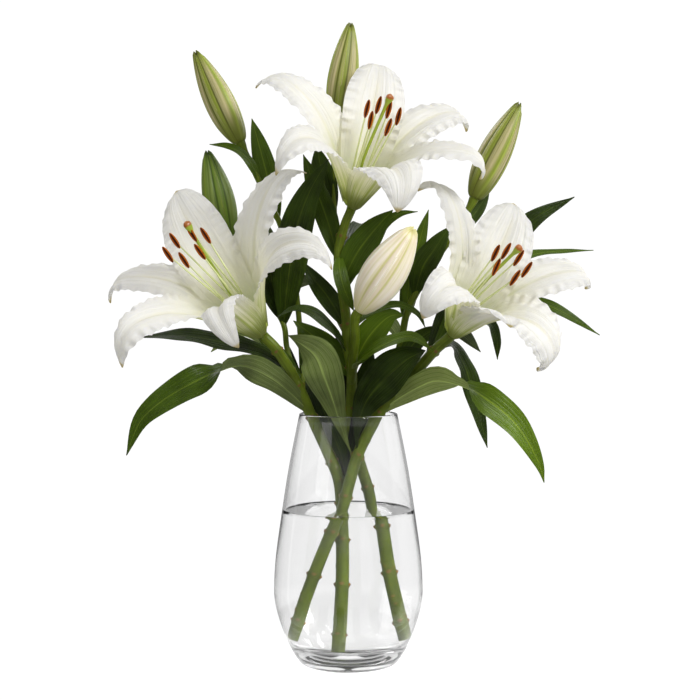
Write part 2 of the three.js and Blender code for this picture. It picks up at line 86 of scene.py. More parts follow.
# Stalks
STRAIGHT_END = 8
STALK_SUNK = 0.8
STALK_ROW = 1.6
STEM_FOOT_RADIUS = 5.8
STEM_UNDER_WATER = 0.87
WATER_BLEND = 12
STEM_TOP_RADIUS = {"left": 4.7, "middle": 4.1, "right": 4.7}
STEM_SEAT_RADIUS = 5.0
BUD_STALK_RADIUS = {"left": 2.5, "upper_left": 2.5, "top": 2.6, "right": 3.1, "white": 3.9}
BUD_STALK_GROWTH = 1.1
BUD_SEAT_RADIUS = 4.6
SEAT_LENGTH = 12
STEM_RIDGE = 0.05
NODE_SPACING = 38
NODE_SHIFT = 4
SINGLE_SCAR_SPACING = 16
SCAR_FREE_TOP = 20
SCAR_HEIGHT = 1.7
SCAR_LENGTH = 2.0
SCAR_WIDTH = 2.6
SCAR_STEEPNESS = 2.2

# How a leaf widens from its foot, and how it narrows to its tip. A leaf of more than BROAD_LEAF in half
# width that starts below IN_VASE is widest further out.
LEAF_FOOT = 0.02
LEAF_GROWTH = 0.85
LEAF_GROWTH_IN_VASE = 2.3
LEAF_TAPER = 0.95
LEAST_LEAF_WIDTH = 0.4
BROAD_LEAF = 15
IN_VASE = 218

# Folds, waves and furrows of a leaf
LEAF_TURN_FOLD = 0.3
LEAF_WAVE_LENGTH = 45
LEAF_FURROWS = 3.5
LEAF_MIDRIB_WIDTH = 0.9

# Which way a leaf's upper side looks
FRONT = (0, -1, 0.25)
SKYWARD = (0, -0.6, 0.8)
UNDERSIDE = (0, 1, 0.2)
REAR = (0, 0.5, 0.85)
TWISTED = [UNDERSIDE, UNDERSIDE, UNDERSIDE, (0, 0.2, 1), FRONT, FRONT, FRONT, FRONT]

# The stems from the cut foot up, to just under the bloom
STEM_ROUTES = {
    "left": [
        (-7.5, -4, 14), (-4.5, -2, 75), (-4.5, 1, 120), (-6, 2.5, 143), (-9, 3, 168), (-18, 3, 191),
        (-33, 1, 224), (-43, -2, 248), (-53, -7, 268), (-65, -14, 287),
    ],
    "middle": [
        (40, 8, 25), (29, 9.5, 80), (20.5, 10, 146), (12, 11, 177), (5, 12, 200), (2, 11, 224),
        (3, 11, 248), (3, 11, 267), (-1, 11, 290), (-2, 11, 314), (-6, 11, 341), (-9, 10, 363),
        (-8, 9, 379), (-3, 5, 398),
    ],
    "right": [
        (-42.5, -6, 27), (-26.5, -9, 80), (-16.5, -9.5, 110), (-5, -9.5, 143), (1.5, -9.5, 168),
        (10, -9.5, 195), (26, -10, 226), (35, -12, 239), (45, -14, 250), (64, -19, 271), (77, -23, 286),
    ],
}

# The stalks of each stem's buds
BUD_STALKS = {
    "left": {
        "left": [
            (-43, -1, 247), (-50, 9, 265), (-56, 17, 287), (-60, 22, 310), (-79, 26, 339),
            (-96, 27, 364),
        ],
        "upper_left": [
            (-41, 0, 244), (-42, 14, 266), (-44, 24, 298), (-48, 26, 339), (-56, 25, 375),
            (-63, 22, 401), (-78, 20, 431),
        ],
    },
    "middle": {
        "white": [(3, 10, 254), (4, 4, 274), (6, -8, 294)],
        "top": [(-9, 10, 368), (-12, 20, 384), (-13, 28, 403), (-13, 33, 421), (-13, 36, 453)],
    },
    "right": {
        "right": [
            (31, -11, 233), (39, 2, 262), (48, 9, 294), (53, 12, 318), (63, 14, 339), (80, 16, 368),
            (99, 16, 395),
        ],
    },
}

# Each stem's leaves: half width, the way the upper side looks along the leaf, route, and a shade
# from 0, dark, to 9 where it is not left to chance, partly the leaf's own colour and partly painted
# light and shade
LEAVES = {
    "left": [
        (11, SKYWARD, [
            (-51, -4, 266), (-77, -6, 283), (-113, -4, 292), (-152, 2, 298), (-188, 6, 296),
        ]),
        (14, TWISTED, [
            (-33, 0, 227), (-43, -5, 238), (-53, -9, 248), (-68, -14, 260), (-85, -18, 269),
            (-100, -22, 272), (-125, -28, 263), (-149, -32, 251), (-170, -34, 237), (-185, -34, 221),
            (-196, -33, 193),
        ], 4),
        (8, FRONT, [(-41, 0, 245), (-56, 8, 270), (-71, 10, 288), (-84, 10, 300)]),
        (5.5, FRONT, [(-37, 1, 234), (-46, 16, 253), (-51, 21, 271), (-55, 27, 289)]),
        (15, FRONT, [
            (-59, 21, 307), (-56, 13, 337), (-52, 8, 364), (-46, 6, 397), (-35, 8, 427), (-18, 13, 457),
        ], 2),
        (12, FRONT, [
            (-61, 22, 312), (-65, 20, 330), (-70, 18, 350), (-71, 17, 364), (-67, 16, 384),
        ], 1),
        (10, FRONT, [(-64, 22, 401), (-71, 27, 430), (-79, 28, 462), (-88, 28, 495)]),
        (6.5, SKYWARD, [(-81, 20, 437), (-89, 13, 454), (-98, 9, 463), (-111, 7, 468), (-125, 7, 470)]),
        (6.5, FRONT, [(-18, 3, 191), (-27, 11, 215), (-35, 16, 240), (-44, 19, 266)], 1),
        (14, REAR, [(-43, -2, 250), (-75, 35, 285), (-105, 62, 297), (-130, 82, 280)]),
        (12, REAR, [(-50, 26, 352), (-75, 50, 390), (-95, 72, 402), (-110, 88, 393)]),
    ],
    "middle": [
        (9.5, SKYWARD, [
            (4, 4, 268), (12, -9, 277), (26, -21, 287), (44, -30, 296), (58, -35, 297), (74, -38, 286),
        ], 8),
        (12.5, FRONT, [(4, 10, 270), (16, 2, 293), (28, -2, 308), (39, -3, 316), (50, -4, 316)], 7),
        (5.5, SKYWARD, [
            (-1, 11, 298), (15, 4, 316), (33, 1, 323), (48, -2, 325), (62, -6, 318), (69, -8, 305),
        ]),
        (7.5, SKYWARD, [
            (-1, 10, 282), (-15, -4, 304), (-32, -11, 318), (-49, -13, 322), (-63, -12, 315),
        ]),
        (6.5, FRONT, [(-8, 9, 371), (-8, -1, 359), (-4, -6, 341), (5, -8, 320)]),
        (10, FRONT, [(-9, 11, 366), (-19, 19, 402), (-31, 22, 434), (-41, 23, 462)]),
        (11, FRONT, [(-13, 31, 410), (-20, 33, 430), (-25, 34, 450), (-29, 34, 471)]),
        (13, FRONT, [(-6, 10, 344), (6, 5, 369), (21, 4, 390), (40, 4, 411)]),
        (6, FRONT, [(-5, 12, 336), (12, 17, 371), (31, 18, 397), (47, 18, 408), (63, 18, 410)]),
        (10, FRONT, [(2, 12, 260), (-15, 17, 283), (-33, 17, 298), (-50, 16, 311)]),
        (9, FRONT, [(-3, 12, 306), (-17, 22, 330), (-30, 26, 347), (-41, 28, 364)]),
        (11, FRONT, [(5, 12, 198), (-2, 16, 222), (-7, 19, 250), (-9, 22, 278), (-9, 24, 302)], 0),
        (9, FRONT, [(2, 11, 222), (10, 16, 242), (17, 19, 264), (22, 21, 286)], 1),
        (13, REAR, [(3, 12, 256), (20, 45, 295), (38, 75, 305), (50, 100, 290)]),
        (13, REAR, [(-2, 12, 296), (-25, 45, 335), (-45, 75, 345), (-62, 98, 330)]),
        (12, REAR, [(-7, 12, 344), (5, 40, 385), (12, 65, 400), (16, 88, 395)]),
        (10, REAR, [(-13, 35, 436), (-5, 60, 475), (0, 80, 490), (2, 98, 485)]),
    ],
    "right": [
        (12, FRONT, [
            (-2, 5, 168), (-7, 7, 190), (-17, 9, 216), (-27, 10, 242), (-36, 12, 270), (-42, 14, 298),
        ], 1),
        (11, FRONT, [(3, 1, 176), (9, 2, 204), (18, 4, 232), (28, 8, 258), (41, 12, 284)], 0),
        (16.5, [UNDERSIDE, UNDERSIDE, UNDERSIDE, REAR], [
            (6, -10, 184), (-3, -14, 207), (-9, -18, 225), (-14, -25, 242), (-21, -34, 262),
            (-28, -37, 280), (-39, -36, 290), (-53, -31, 299),
        ], 4),
        (17.5, [FRONT, FRONT, SKYWARD], [
            (8, -10, 188), (8, -18, 214), (16, -25, 240), (32, -30, 260), (51, -34, 277),
            (68, -36, 286),
        ], 1),
        (13.5, TWISTED, [
            (26, -10, 227), (37, -15, 237), (50, -20, 246), (64, -25, 254), (79, -28, 259),
            (102, -31, 254), (123, -34, 242), (144, -35, 225), (158, -36, 206), (169, -35, 184),
            (173, -34, 169),
        ], 9),
        (9, SKYWARD, [(75, -22, 284), (91, -4, 290), (104, 4, 272), (113, 8, 245), (126, 8, 196)]),
        (7.5, SKYWARD, [(82, -23, 292), (109, -4, 314), (126, 4, 310), (134, 8, 294), (135, 9, 276)]),
        (6.5, FRONT, [(79, -22, 289), (107, -2, 314), (142, 8, 326), (183, 12, 324), (228, 12, 298)]),
        (7, SKYWARD, [(74, -20, 282), (99, 4, 325), (137, 14, 359), (174, 18, 372), (223, 20, 375)]),
        (13, FRONT, [(70, -20, 278), (94, 10, 321), (127, 24, 359), (166, 30, 401), (207, 32, 424)]),
        (6.5, FRONT, [(97, 17, 388), (108, 20, 400), (119, 24, 414), (129, 28, 431)]),
        (7.5, FRONT, [(53, 12, 317), (56, 19, 353), (65, 22, 384), (73, 22, 412)]),
        (11, FRONT, [(60, 13, 334), (67, 5, 359), (79, 3, 378), (91, 3, 396)]),
        (8, FRONT, [(51, 11, 310), (56, 24, 343), (58, 27, 359), (59, 28, 374)]),
        (8, FRONT, [(46, -14, 251), (55, -4, 285), (69, -1, 299), (88, -1, 307)]),
        (14, REAR, [(42, -13, 247), (70, 30, 290), (100, 60, 300), (125, 82, 280)]),
        (12, REAR, [(57, 13, 326), (80, 45, 370), (100, 70, 380), (115, 90, 370)]),
    ],
}

# Blooms. Tepals: azimuth about the bloom's axis, length, last lean from the axis, how late it curls,
# sideways sweep of the tip, share of the full width, and twist, with angles in degrees. Inner and
# outer tepals alternate, the inner ones first.
BLOOMS = {
    "left": {
        "base": (-79, -22, 303),
        "axis": (-0.445, -0.629, 0.637),
        "stigma": (-140, -71, 398),
        "anthers": [
            (-134, -71, 387), (-149, -66, 381), (-154, -76, 369), (-139, -89, 364), (-125, -94, 371),
            (-121, -84, 385),
        ],
        "tepals": [
            (48, 152, 62, 1.95, -10, 0.95, -4), (-16, 169, 109, 2.36, -18, 0.88, -4),
            (-64, 169, 151, 2.79, -38, 0.70, 5), (-140, 178, 141, 3.31, 2, 0.66, -2),
            (-209, 174, 113, 2.83, 26, 0.80, -2), (-272, 157, 120, 2.32, 31, 0.64, 0),
        ],
    },
    "top": {
        "base": (4, 0, 417),
        "axis": (0.2, -0.629, 0.751),
        "stigma": (37, -50, 509),
        "anthers": [
            (26, -47, 499), (16, -56, 495), (19, -68, 484), (34, -69, 478), (43, -60, 488),
            (35, -48, 495),
        ],
        "tepals": [
            (-20, 141, 85, 2.47, 6, 0.88, -1), (-61, 151, 132, 2.11, -21, 0.73, 5),
            (-118, 162, 154, 2.70, 5, 0.69, -15), (-177, 168, 123, 2.71, -12, 0.98, 14),
            (-254, 173, 116, 2.48, 40, 0.65, 2), (-316, 158, 118, 2.30, 16, 0.87, 4),
        ],
    },
    "right": {
        "base": (93, -28, 303),
        "axis": (0.365, -0.629, 0.686),
        "stigma": (147, -85, 377),
        "anthers": [
            (135, -73, 372), (125, -84, 370), (125, -94, 358), (141, -91, 349), (152, -80, 356),
            (146, -70, 366),
        ],
        "tepals": [
            (-47, 133, 68, 1.56, 16, 0.92, -7), (-92, 152, 128, 2.14, -3, 0.81, -2),
            (-155, 148, 186, 2.62, -14, 1.00, -10), (-194, 108, 46, 2.02, 3, 0.88, -8),
            (-243, 172, 153, 3.15, 6, 0.66, -4), (-361, 155, 132, 2.58, 25, 0.64, 14),
        ],
    },
}

# Tepals: the radius they start at, leans in degrees, curvatures per millimetre, places as shares of
# the length, and depths and widths of what runs along them
TEPAL_RADIUS = {"inner": 7, "outer": 9}
TEPAL_FIRST_LEAN = 24
TEPAL_CUP = 0.006
TEPAL_ROLL = 0.012
LEAST_BEND = 0.00001
LEAST_REACH = 4
TIP_HOOK = 48
HOOK_START = 0.74
SWEEP_START = 0.25
TEPAL_FOOT = 0.07
TEPAL_GROWTH = 0.85
TEPAL_TAPER = 0.72
LEAST_TEPAL_WIDTH = 0.9
RUFFLED_LENGTH = 150
FURROW_WIDTH = 4.2
PLEAT_DEPTH = 0.42
KEEL_HEIGHT = {"inner": 0.6, "outer": 1.1}
KEEL_WIDTH = 1.6
# Painted light: strength of the light given off by a tepal's inner face towards its throat, which lifts
# the shade there
THROAT_PAINTED_LIGHT = 0.3

# Cup, stamens and pistil: radii, and heights above the bloom's base
CUP_PROFILE = [
    (0, -0.2), (4.8, -0.2), (7.4, 0.6), (9.6, 2.6), (10.6, 5.2), (10.9, 8.2), (10.3, 9.0), (8.6, 6.5),
    (5, 5.2), (0, 5),
]
STAMENS = 6
STAMEN_FOOT = 3.4
FILAMENT_ROOT_RING = 3.8
FILAMENT_RISE = 31.6
FILAMENT_LOW_RING = 7.3
ANTHER_BACK = 1.3
ANTHER_BOW = 1.1
ANTHER_HOLD = 0.45
PISTIL_FOOT = 5.3
PISTIL_RISES = (0, 22, 50)
OVARY_RADIUS = 2.7
OVARY_SHARE = 0.2
STYLE_RADIUS = 1.1
STYLE_SHARE = 0.95
STIGMA_RADIUS = 2.0
STIGMA_SHARE = 0.972

# Buds: where each is seated on its stalk, its tip, its greatest radius and the turn of its ribs in
# degrees. The ribs turn on by BUD_SPIRAL, in radians, towards the tip.
BUDS = {
    "left": {"base": (-110, 26, 384), "tip": (-129, 24, 466), "radius": 14.5, "turn": 20},
    "upper_left": {"base": (-98, 19, 473), "tip": (-139, 22, 556), "radius": 13.5, "turn": 65},
    "top": {"base": (-10, 36, 493), "tip": (2, 34, 583), "radius": 14, "turn": 40},
    "right": {"base": (114, 15, 422), "tip": (155, 10, 508), "radius": 14.5, "turn": 75},
    "white": {
        "base": (10, -22, 320), "tip": (57, -45, 394), "radius": 19.5, "turn": 35, "tip_radius": 4.2,
        "fullness": 0.88,
    },
}
BUD_BASE_RADIUS = 5
BUD_TIP_RADIUS = 2.4
BUD_FULLNESS = 0.75
BUD_SPIRAL = 0.25
BUD_SEAM_ANGLE = 41
BUD_NOTCH = 1.4

# How much of a bud's flanks shows its pale colour
FLANK_SHARE = {"green": 0.72, "young": 0.12, "white": 0.4}

# Camera, in metres, degrees and, for the lens, millimetres: it looks along +Y from a little above the
# middle of the flowers
CAMERA_TARGET = (0.0015, 0.0, 0.285)
CAMERA_DISTANCE = 1.6
CAMERA_ELEVATION = 2.2
CAMERA_LENS = 91.4
CAMERA_SENSOR = 36

# Lights: place and size in metres, and power in watts
LIGHTS = {
    "key": ((1.5, -1.4, 1.6), 0.8, 54),
    "fill": ((-1.6, -1.3, 0.9), 1.0, 6),
    "back_left": ((-1.0, 1.2, 1.5), 0.9, 13),
    "back_right": ((1.2, 1.2, 1.2), 0.9, 10),
}
LIGHT_AIM = (0, 0, 0.3)
FLOOR_GLOW = 0.1

# Strengths of the surroundings: on a surface, past the glass, and mirrored inside or outside it
AMBIENT_LOW = 0.58
AMBIENT_HIGH = 0.68
AMBIENT_BOUNCED = 1.0
BACKGROUND = 1.05
THROUGH_GLASS = 0.95
MIRRORED_INSIDE = 0.55
MIRRORED_INSIDE_LOW = 0.4
MIRRORED_INSIDE_HIGH = 0.5
STRIPE_PITCH = 16
MIRRORED = 0.06
MIRRORED_ABOVE = 0.5
MIRRORED_BEHIND = 0.4
PANEL_RIGHT = 1.0
PANEL_LEFT = 0.9


def length(name, description, default, low, high, precision=4):
    """A length setting, in metres."""
    return FloatProperty(
        name=name, description=description, default=default, min=low, max=high, precision=precision,
        subtype="DISTANCE", unit="LENGTH",
    )


class LilySizes(bpy.types.PropertyGroup):
    """Sizes of the blades and the fine parts."""

    leaf_thickness: length("Leaf thickness", "Thickness of a leaf at its midrib", 0.0009, 0.0003, 0.003)
    leaf_fold: FloatProperty(
        name="Leaf fold", description="Rise of a leaf's sides from its midrib, as a share of width",
        default=0.2, min=0.0, max=1.0, subtype="FACTOR",
    )
    leaf_wave: length("Leaf wave", "Height of the slow waves along a leaf's edge", 0.0011, 0.0, 0.005)
    vein_depth: length(
        "Vein depth", "Depth of the furrows between a leaf's parallel veins", 0.00022, 0.0, 0.001, 5
    )
    inner_half_width: length(
        "Inner tepal half width", "Half the greatest width of a wide inner tepal", 0.033, 0.01, 0.06
    )
    outer_half_width: length(
        "Outer tepal half width", "Half the greatest width of a narrow outer tepal", 0.027, 0.01, 0.06
    )
    tepal_thickness: length(
        "Tepal thickness", "Thickness of a tepal beside its midrib", 0.0009, 0.0003, 0.003
    )
    ruffle_depth: length("Ruffle depth", "Height of the ruffles at a tepal's edge", 0.0011, 0.0, 0.006)
    ruffles: IntProperty(
        name="Ruffles", description="Number of ruffles along one edge of a tepal",
        default=16, min=1, max=30,
    )
    midrib_depth: length(
        "Midrib depth", "Depth of the furrow along the middle of a tepal", 0.0022, 0.0, 0.006
    )
    filament_radius: length(
        "Filament radius", "Radius of a filament at its foot", 0.0012, 0.0004, 0.003
    )
    anther_length: length("Anther length", "Length of an anther", 0.016, 0.005, 0.03)
    anther_radius: length("Anther radius", "Half the width of an anther", 0.0019, 0.0008, 0.005)


def colour(name, description, default):
    """A colour setting, linear light."""
    return FloatVectorProperty(
        name=name, description=description, default=default, size=3, min=0.0, max=1.0, subtype="COLOR"
    )


class LilyColours(bpy.types.PropertyGroup):
    """Colours of the living parts, in linear light."""

    tepal: colour("Tepal", "White of the open tepals", (0.90, 0.89, 0.86))
    tepal_cream: colour("Tepal cream", "Cream beside the midrib and by the throat", (0.87, 0.84, 0.68))
    tepal_outside: colour("Tepal outside", "Pale yellow outside a tepal's foot", (0.78, 0.77, 0.47))
    tepal_tip: colour("Tepal tip", "Straw yellow of the very tip of a tepal", (0.62, 0.50, 0.16))
    throat: colour("Throat", "Green-yellow at the foot of the tepals", (0.43, 0.51, 0.085))
    leaf_upper: colour("Leaf upper side", "Dark glossy green of the upper side", (0.034, 0.060, 0.0045))
    leaf_lower: colour("Leaf underside", "Dull grey green of the underside", (0.092, 0.118, 0.034))
    leaf_vein: colour("Leaf vein", "Light green of the midrib and veins", (0.115, 0.160, 0.020))
    leaf_glow: colour("Leaf glow", "Yellow green of light coming through a leaf", (0.130, 0.190, 0.012))
    stalk: colour("Stalk", "Green of stems and stalks", (0.078, 0.108, 0.007))
    scar: colour("Leaf scar", "Brown of the leaf scars on the stems", (0.16, 0.090, 0.025))
    pollen: colour("Pollen", "Rust of the anthers' lobes", (0.37, 0.095, 0.004))
    anther_seam: colour("Anther seam", "Dark red-brown of an anther's furrow", (0.045, 0.007, 0.002))
    filament: colour("Filament", "Pale green-yellow of the filaments", (0.62, 0.66, 0.34))
    style: colour("Style", "Yellow green of the style", (0.280, 0.360, 0.030))
    stigma: colour("Stigma", "Orange brown of the stigma", (0.31, 0.095, 0.014))
    bud_green: colour("Green bud", "Pale green of the closed buds", (0.200, 0.240, 0.026))
    bud_young: colour("Young bud", "Deep green of the least grown bud", (0.102, 0.170, 0.012))
    bud_flank: colour("Bud flank", "Pinkish cream between a green bud's ribs", (0.530, 0.430, 0.270))
    bud_ridge: colour("Bud ridge", "Light green of a green bud's raised ribs", (0.340, 0.420, 0.060))
    bud_seam: colour("Bud seam", "Dark green of the seams of a green bud", (0.085, 0.090, 0.014))
    bud_cream: colour("White bud", "Cream of the bud about to open", (0.720, 0.620, 0.470))
    bud_cream_rib: colour("White bud rib", "Green yellow of the white bud's ribs", (0.54, 0.52, 0.20))


class LilySettings(bpy.types.PropertyGroup):
    """All the settings of the lilies."""

    sizes: PointerProperty(type=LilySizes)
    colours: PointerProperty(type=LilyColours)


def unit(vectors):
    """The vectors, each divided by its length."""
    vectors = np.asarray(vectors, float)
    return vectors / np.linalg.norm(vectors, axis=-1, keepdims=True)


def smoothstep(low, high, values):
    """0 below low, 1 above high and 3t^2 - 2t^3 between them."""
    t = np.clip((values - low) / (high - low), 0, 1)
    return t * t * (3 - 2 * t)


def hump(distance, width):
    """A rounded hump of height 1: exp(-(distance / width)^2)."""
    return np.exp(-((distance / width) ** 2))


def ring_angles(sides):
    """The angles of the points round a ring."""
    return np.linspace(0, CIRCLE, sides, endpoint=False)


def turned(first, second, angle):
    """The first direction, turned by each angle towards the second."""
    return np.cos(angle)[..., None] * first + np.sin(angle)[..., None] * second


def sums(steps):
    """The running sum of the steps, from 0."""
    return np.concatenate([[0], np.cumsum(steps)])


def between_keys(t, keys, vectors):
    """The vectors that are given at the keys, read between the keys at t."""
    return np.stack([np.interp(t, keys, vectors[:, k]) for k in range(vectors.shape[1])], -1)


def vectors_of(*parts):
    """The arrays, spread to one shape and joined into vectors."""
    return np.stack(np.broadcast_arrays(*parts), -1)


def spline(points, t):
    """Places at t, 0 to 1, on a uniform Catmull-Rom spline through the points.

    Each span is the cubic through its two ends whose slopes there are half the way between their
    neighbours. Beyond the ends, the neighbours are the reflected second points.
    """
    points = np.asarray(points, float)
    spans = len(points) - 1
    padded = np.vstack([2 * points[0] - points[1], points, 2 * points[-1] - points[-2]])
    place = np.clip(t, 0, 1) * spans
    span = np.minimum(place.astype(int), spans - 1)
    x = (place - span)[:, None]
    a, b, c, d = (padded[span + k] for k in range(4))
    line = 2 * b + (c - a) * x
    square = (2 * a - 5 * b + 4 * c - d) * x**2
    cube = (3 * b - a - 3 * c + d) * x**3
    return 0.5 * (line + square + cube)


def route_places(points, rows, fine_places=600):
    """Equally spaced places along the spline, in metres, with their unit tangents and its length."""
    fine = spline(points, np.linspace(0, 1, fine_places)) * MM
    travelled = sums(np.linalg.norm(np.diff(fine, axis=0), axis=1))
    places = between_keys(np.linspace(0, travelled[-1], rows + 1), travelled, fine)
    return places, unit(np.gradient(places, axis=0)), travelled[-1]


def closed_body(grid, marks):
    """A closed body from rows of rings: quads between them and a fan to a middle point at each end.

    The faces are turned outwards by the sign of the volume, the sum of a . (b x c) / 6 over triangles.
    marks is one vector for each point of the grid, which the material reads.
    """
    rows, sides = grid.shape[:2]
    points = np.concatenate([grid.reshape(-1, 3), [grid[0].mean(0), grid[-1].mean(0)]])
    marks = np.concatenate([marks.reshape(-1, 3), [marks[0].mean(0), marks[-1].mean(0)]])
    here = np.arange(rows * sides).reshape(rows, sides)
    beside = np.roll(here, -1, axis=1)
    quads = np.stack([here[:-1], beside[:-1], beside[1:], here[1:]], -1).reshape(-1, 4)
    first, last = rows * sides, rows * sides + 1
    low_fan = np.stack([np.full(sides, first), beside[0], here[0]], -1)
    high_fan = np.stack([np.full(sides, last), here[-1], beside[-1]], -1)
    fans = np.concatenate([low_fan, high_fan])
    halves = np.concatenate([quads[:, [0, 1, 2]], quads[:, [0, 2, 3]], fans])
    centred = points - points.mean(0)
    a, b, c = (centred[halves[:, k]] for k in range(3))
    if np.einsum("ij,ij->i", a, np.cross(b, c)).sum() < 0:
        quads, fans = quads[:, ::-1], fans[:, ::-1]
    return points, quads, fans, marks


def add_object(name, data):
    """An object with the data, linked to the scene."""
    thing = bpy.data.objects.new(name, data)
    bpy.context.scene.collection.objects.link(thing)
    return thing


def make_piece(name, bodies, material, slot, *nodes):
    """One object from closed bodies, with smooth faces and the marks in the attribute "place"."""
    points, quads, fans, marks = (list(part) for part in zip(*bodies))
    offsets = np.cumsum([0] + [len(part) for part in points[:-1]])
    quads = np.concatenate([part + offset for part, offset in zip(quads, offsets)])
    fans = np.concatenate([part + offset for part, offset in zip(fans, offsets)])
    points = np.concatenate(points).astype(np.float32)
    loops = np.concatenate([quads.ravel(), fans.ravel()]).astype(np.int32)
    starts = np.concatenate([np.arange(len(quads)) * 4, quads.size + np.arange(len(fans)) * 3])
    mesh = bpy.data.meshes.new(name)
    mesh.vertices.add(len(points))
    mesh.vertices.foreach_set("co", points.ravel())
    mesh.loops.add(len(loops))
    mesh.loops.foreach_set("vertex_index", loops)
    mesh.polygons.add(len(starts))
    mesh.polygons.foreach_set("loop_start", starts.astype(np.int32))
    mesh.polygons.foreach_set("use_smooth", np.ones(len(starts), bool))
    mesh.update(calc_edges=True)
    place = mesh.attributes.new("place", "FLOAT_VECTOR", "POINT")
    place.data.foreach_set("vector", np.concatenate(marks).astype(np.float32).ravel())
    mesh.materials.append(material)
    piece = add_object(name, mesh)
    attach(piece, BODY)
    if nodes:
        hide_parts(*nodes)
    return piece


def turned_body(profile, sides=TURNED_SIDES):
    """A surface of revolution: each point of the profile, in millimetres, carried round the Z axis."""
    profile = np.asarray(profile, float) * MM
    angle = ring_angles(sides)
    radius, height = profile[:, :1], profile[:, 1:]
    grid = vectors_of(radius * np.cos(angle), radius * np.sin(angle), height)
    return closed_body(grid, vectors_of(radius / MM, height / MM, angle))


def tube_body(places, tangents, radius):
    """A round or ribbed stalk: at each place a ring square to the tangent, of the given radii.

    radius has one row for each place and one column for each side. The ring's first direction is the
    tangent crossed with the front, so the ring doesn't twist. The marks are the share of the length,
    the share of the turn and 0.
    """
    angle = ring_angles(radius.shape[1])
    side = unit(np.cross(tangents, (0, -1, 0)))
    front = np.cross(side, tangents)
    spokes = turned(side[:, None], front[:, None], angle)
    grid = places[:, None] + radius[..., None] * spokes
    along = np.linspace(0, 1, len(places))[:, None]
    return closed_body(grid, vectors_of(along, angle / CIRCLE, 0.0))


def with_mark(body, column, values):
    """The body with one mark changed on its grid; the middle points of its ends keep theirs."""
    body[3][: values.size, column] = values.ravel()
    return body


def blade_body(middle, thickness, normal, marks):
    """A thin blade from the grid of its middle surface: both faces half the thickness from it.

    The ring of each row runs over the upper face and back under the lower one. The third mark is 0
    on the upper face, 1 on the lower one and 0.5 on the edge they share.
    """
    upper = middle + 0.5 * thickness[..., None] * normal
    lower = middle - 0.5 * thickness[..., None] * normal
    ring = np.concatenate([upper, lower[:, -2:0:-1]], axis=1)
    ring[:, 0] = middle[:, 0]
    ring[:, middle.shape[1] - 1] = middle[:, -1]
    under = np.concatenate([np.zeros(middle.shape[1]), np.ones(middle.shape[1] - 2)])
    under[[0, middle.shape[1] - 1]] = 0.5
    along = np.concatenate([marks, marks[:, -2:0:-1]], axis=1)
    return closed_body(ring, vectors_of(along[..., 0], along[..., 1], under))


def blade_columns(count):
    """Places across a blade from -1 to 1, closer together towards its edges: sin(pi s / 2)."""
    return np.sin(np.pi / 2 * np.linspace(-1, 1, count + 1))


def leaf_width(u, growth):
    """A leaf's width as a share of the greatest: (u + foot)^growth (1 - u)^taper.

    It is widest further out as growth rises.
    """
    widest = growth / (growth + LEAF_TAPER)
    greatest = widest**growth * (1 - widest) ** LEAF_TAPER
    return (u + LEAF_FOOT) ** growth * (1 - u) ** LEAF_TAPER / greatest


def leaf_body(leaf, sizes, draw, rows=40, across=36):
    """A leaf: a blade folded up beside its midrib, with parallel veins and slow waves at its edges.

    Across, a point v of the way out rises by fold * w * (sqrt(v^2 + 0.01) - 0.1), by a wave of
    sin(2 pi k u + phase) v^4 and by furrows of cos(2 pi 3.5 v). Along, its width follows leaf_width.
    The first mark is u plus twice the leaf's shade, partly its own colour and partly painted light
    and shade, so that the material can tell leaves apart.
    """
    half, looks, route, *shade = leaf
    places, tangents, length = route_places(route, rows)
    u = np.linspace(0, 1, rows + 1)
    v = blade_columns(across)
    looks = np.atleast_2d(np.asarray(looks, float))
    look = between_keys(u, np.linspace(0, 1, len(looks)), looks)
    side = unit(np.cross(tangents, look))
    normal = np.cross(side, tangents)
    broad_in_vase = half > BROAD_LEAF and route[0][2] < IN_VASE
    growth = LEAF_GROWTH_IN_VASE if broad_in_vase else LEAF_GROWTH
    width = np.maximum(half * leaf_width(u, growth), LEAST_LEAF_WIDTH)[:, None] * MM
    turning = 1 - smoothstep(0.0, 0.4, np.abs(normal[:, 1]))
    fold = sizes.leaf_fold + LEAF_TURN_FOLD * turning[:, None]
    lift = fold * width * (np.sqrt(v**2 + 0.01) - 0.1)
    phase = draw.uniform(0, CIRCLE, 2)
    waves = length / MM / LEAF_WAVE_LENGTH
    edge = np.where(v < 0, phase[0], phase[1])
    body = np.sin(np.pi * u)[:, None]
    lift = lift + sizes.leaf_wave * body * np.sin(CIRCLE * waves * u[:, None] + edge) * v**4
    lift = lift - sizes.vein_depth * body * np.cos(CIRCLE * LEAF_FURROWS * v) * (1 - v**2)
    middle = places[:, None] + (width * v)[..., None] * side[:, None]
    middle = middle + lift[..., None] * normal[:, None]
    midrib = 1.2 * hump(width * v, LEAF_MIDRIB_WIDTH * MM) * (1.1 - u)[:, None]
    thickness = sizes.leaf_thickness * (0.75 * np.sqrt(1 - v**2) + midrib)
    # A leaf's brightness, drawn or given; the given ones are partly painted light and shade
    drawn = draw.integers(1, 7)
    tone_and_light = shade[0] if shade else drawn
    return blade_body(middle, thickness, normal[:, None], vectors_of(u[:, None] + 2.0 * tone_and_light, v))


def bloom_frame(bloom):
    """The bloom's base, its unit axis, the direction up square to the axis, and axis x up."""
    axis = unit(bloom["axis"])
    up = unit(np.array([0, 0, 1]) - axis[2] * axis)
    return np.array(bloom["base"]) * MM, axis, up, np.cross(axis, up)


def tepal_width(u):
    """A tepal's width as a share of the greatest, (u + foot)^growth (1 - u)^taper: widest half way."""
    widest = (TEPAL_GROWTH - TEPAL_TAPER * TEPAL_FOOT) / (TEPAL_GROWTH + TEPAL_TAPER)
    greatest = (widest + TEPAL_FOOT) ** TEPAL_GROWTH * (1 - widest) ** TEPAL_TAPER
    return (u + TEPAL_FOOT) ** TEPAL_GROWTH * (1 - u) ** TEPAL_TAPER / greatest


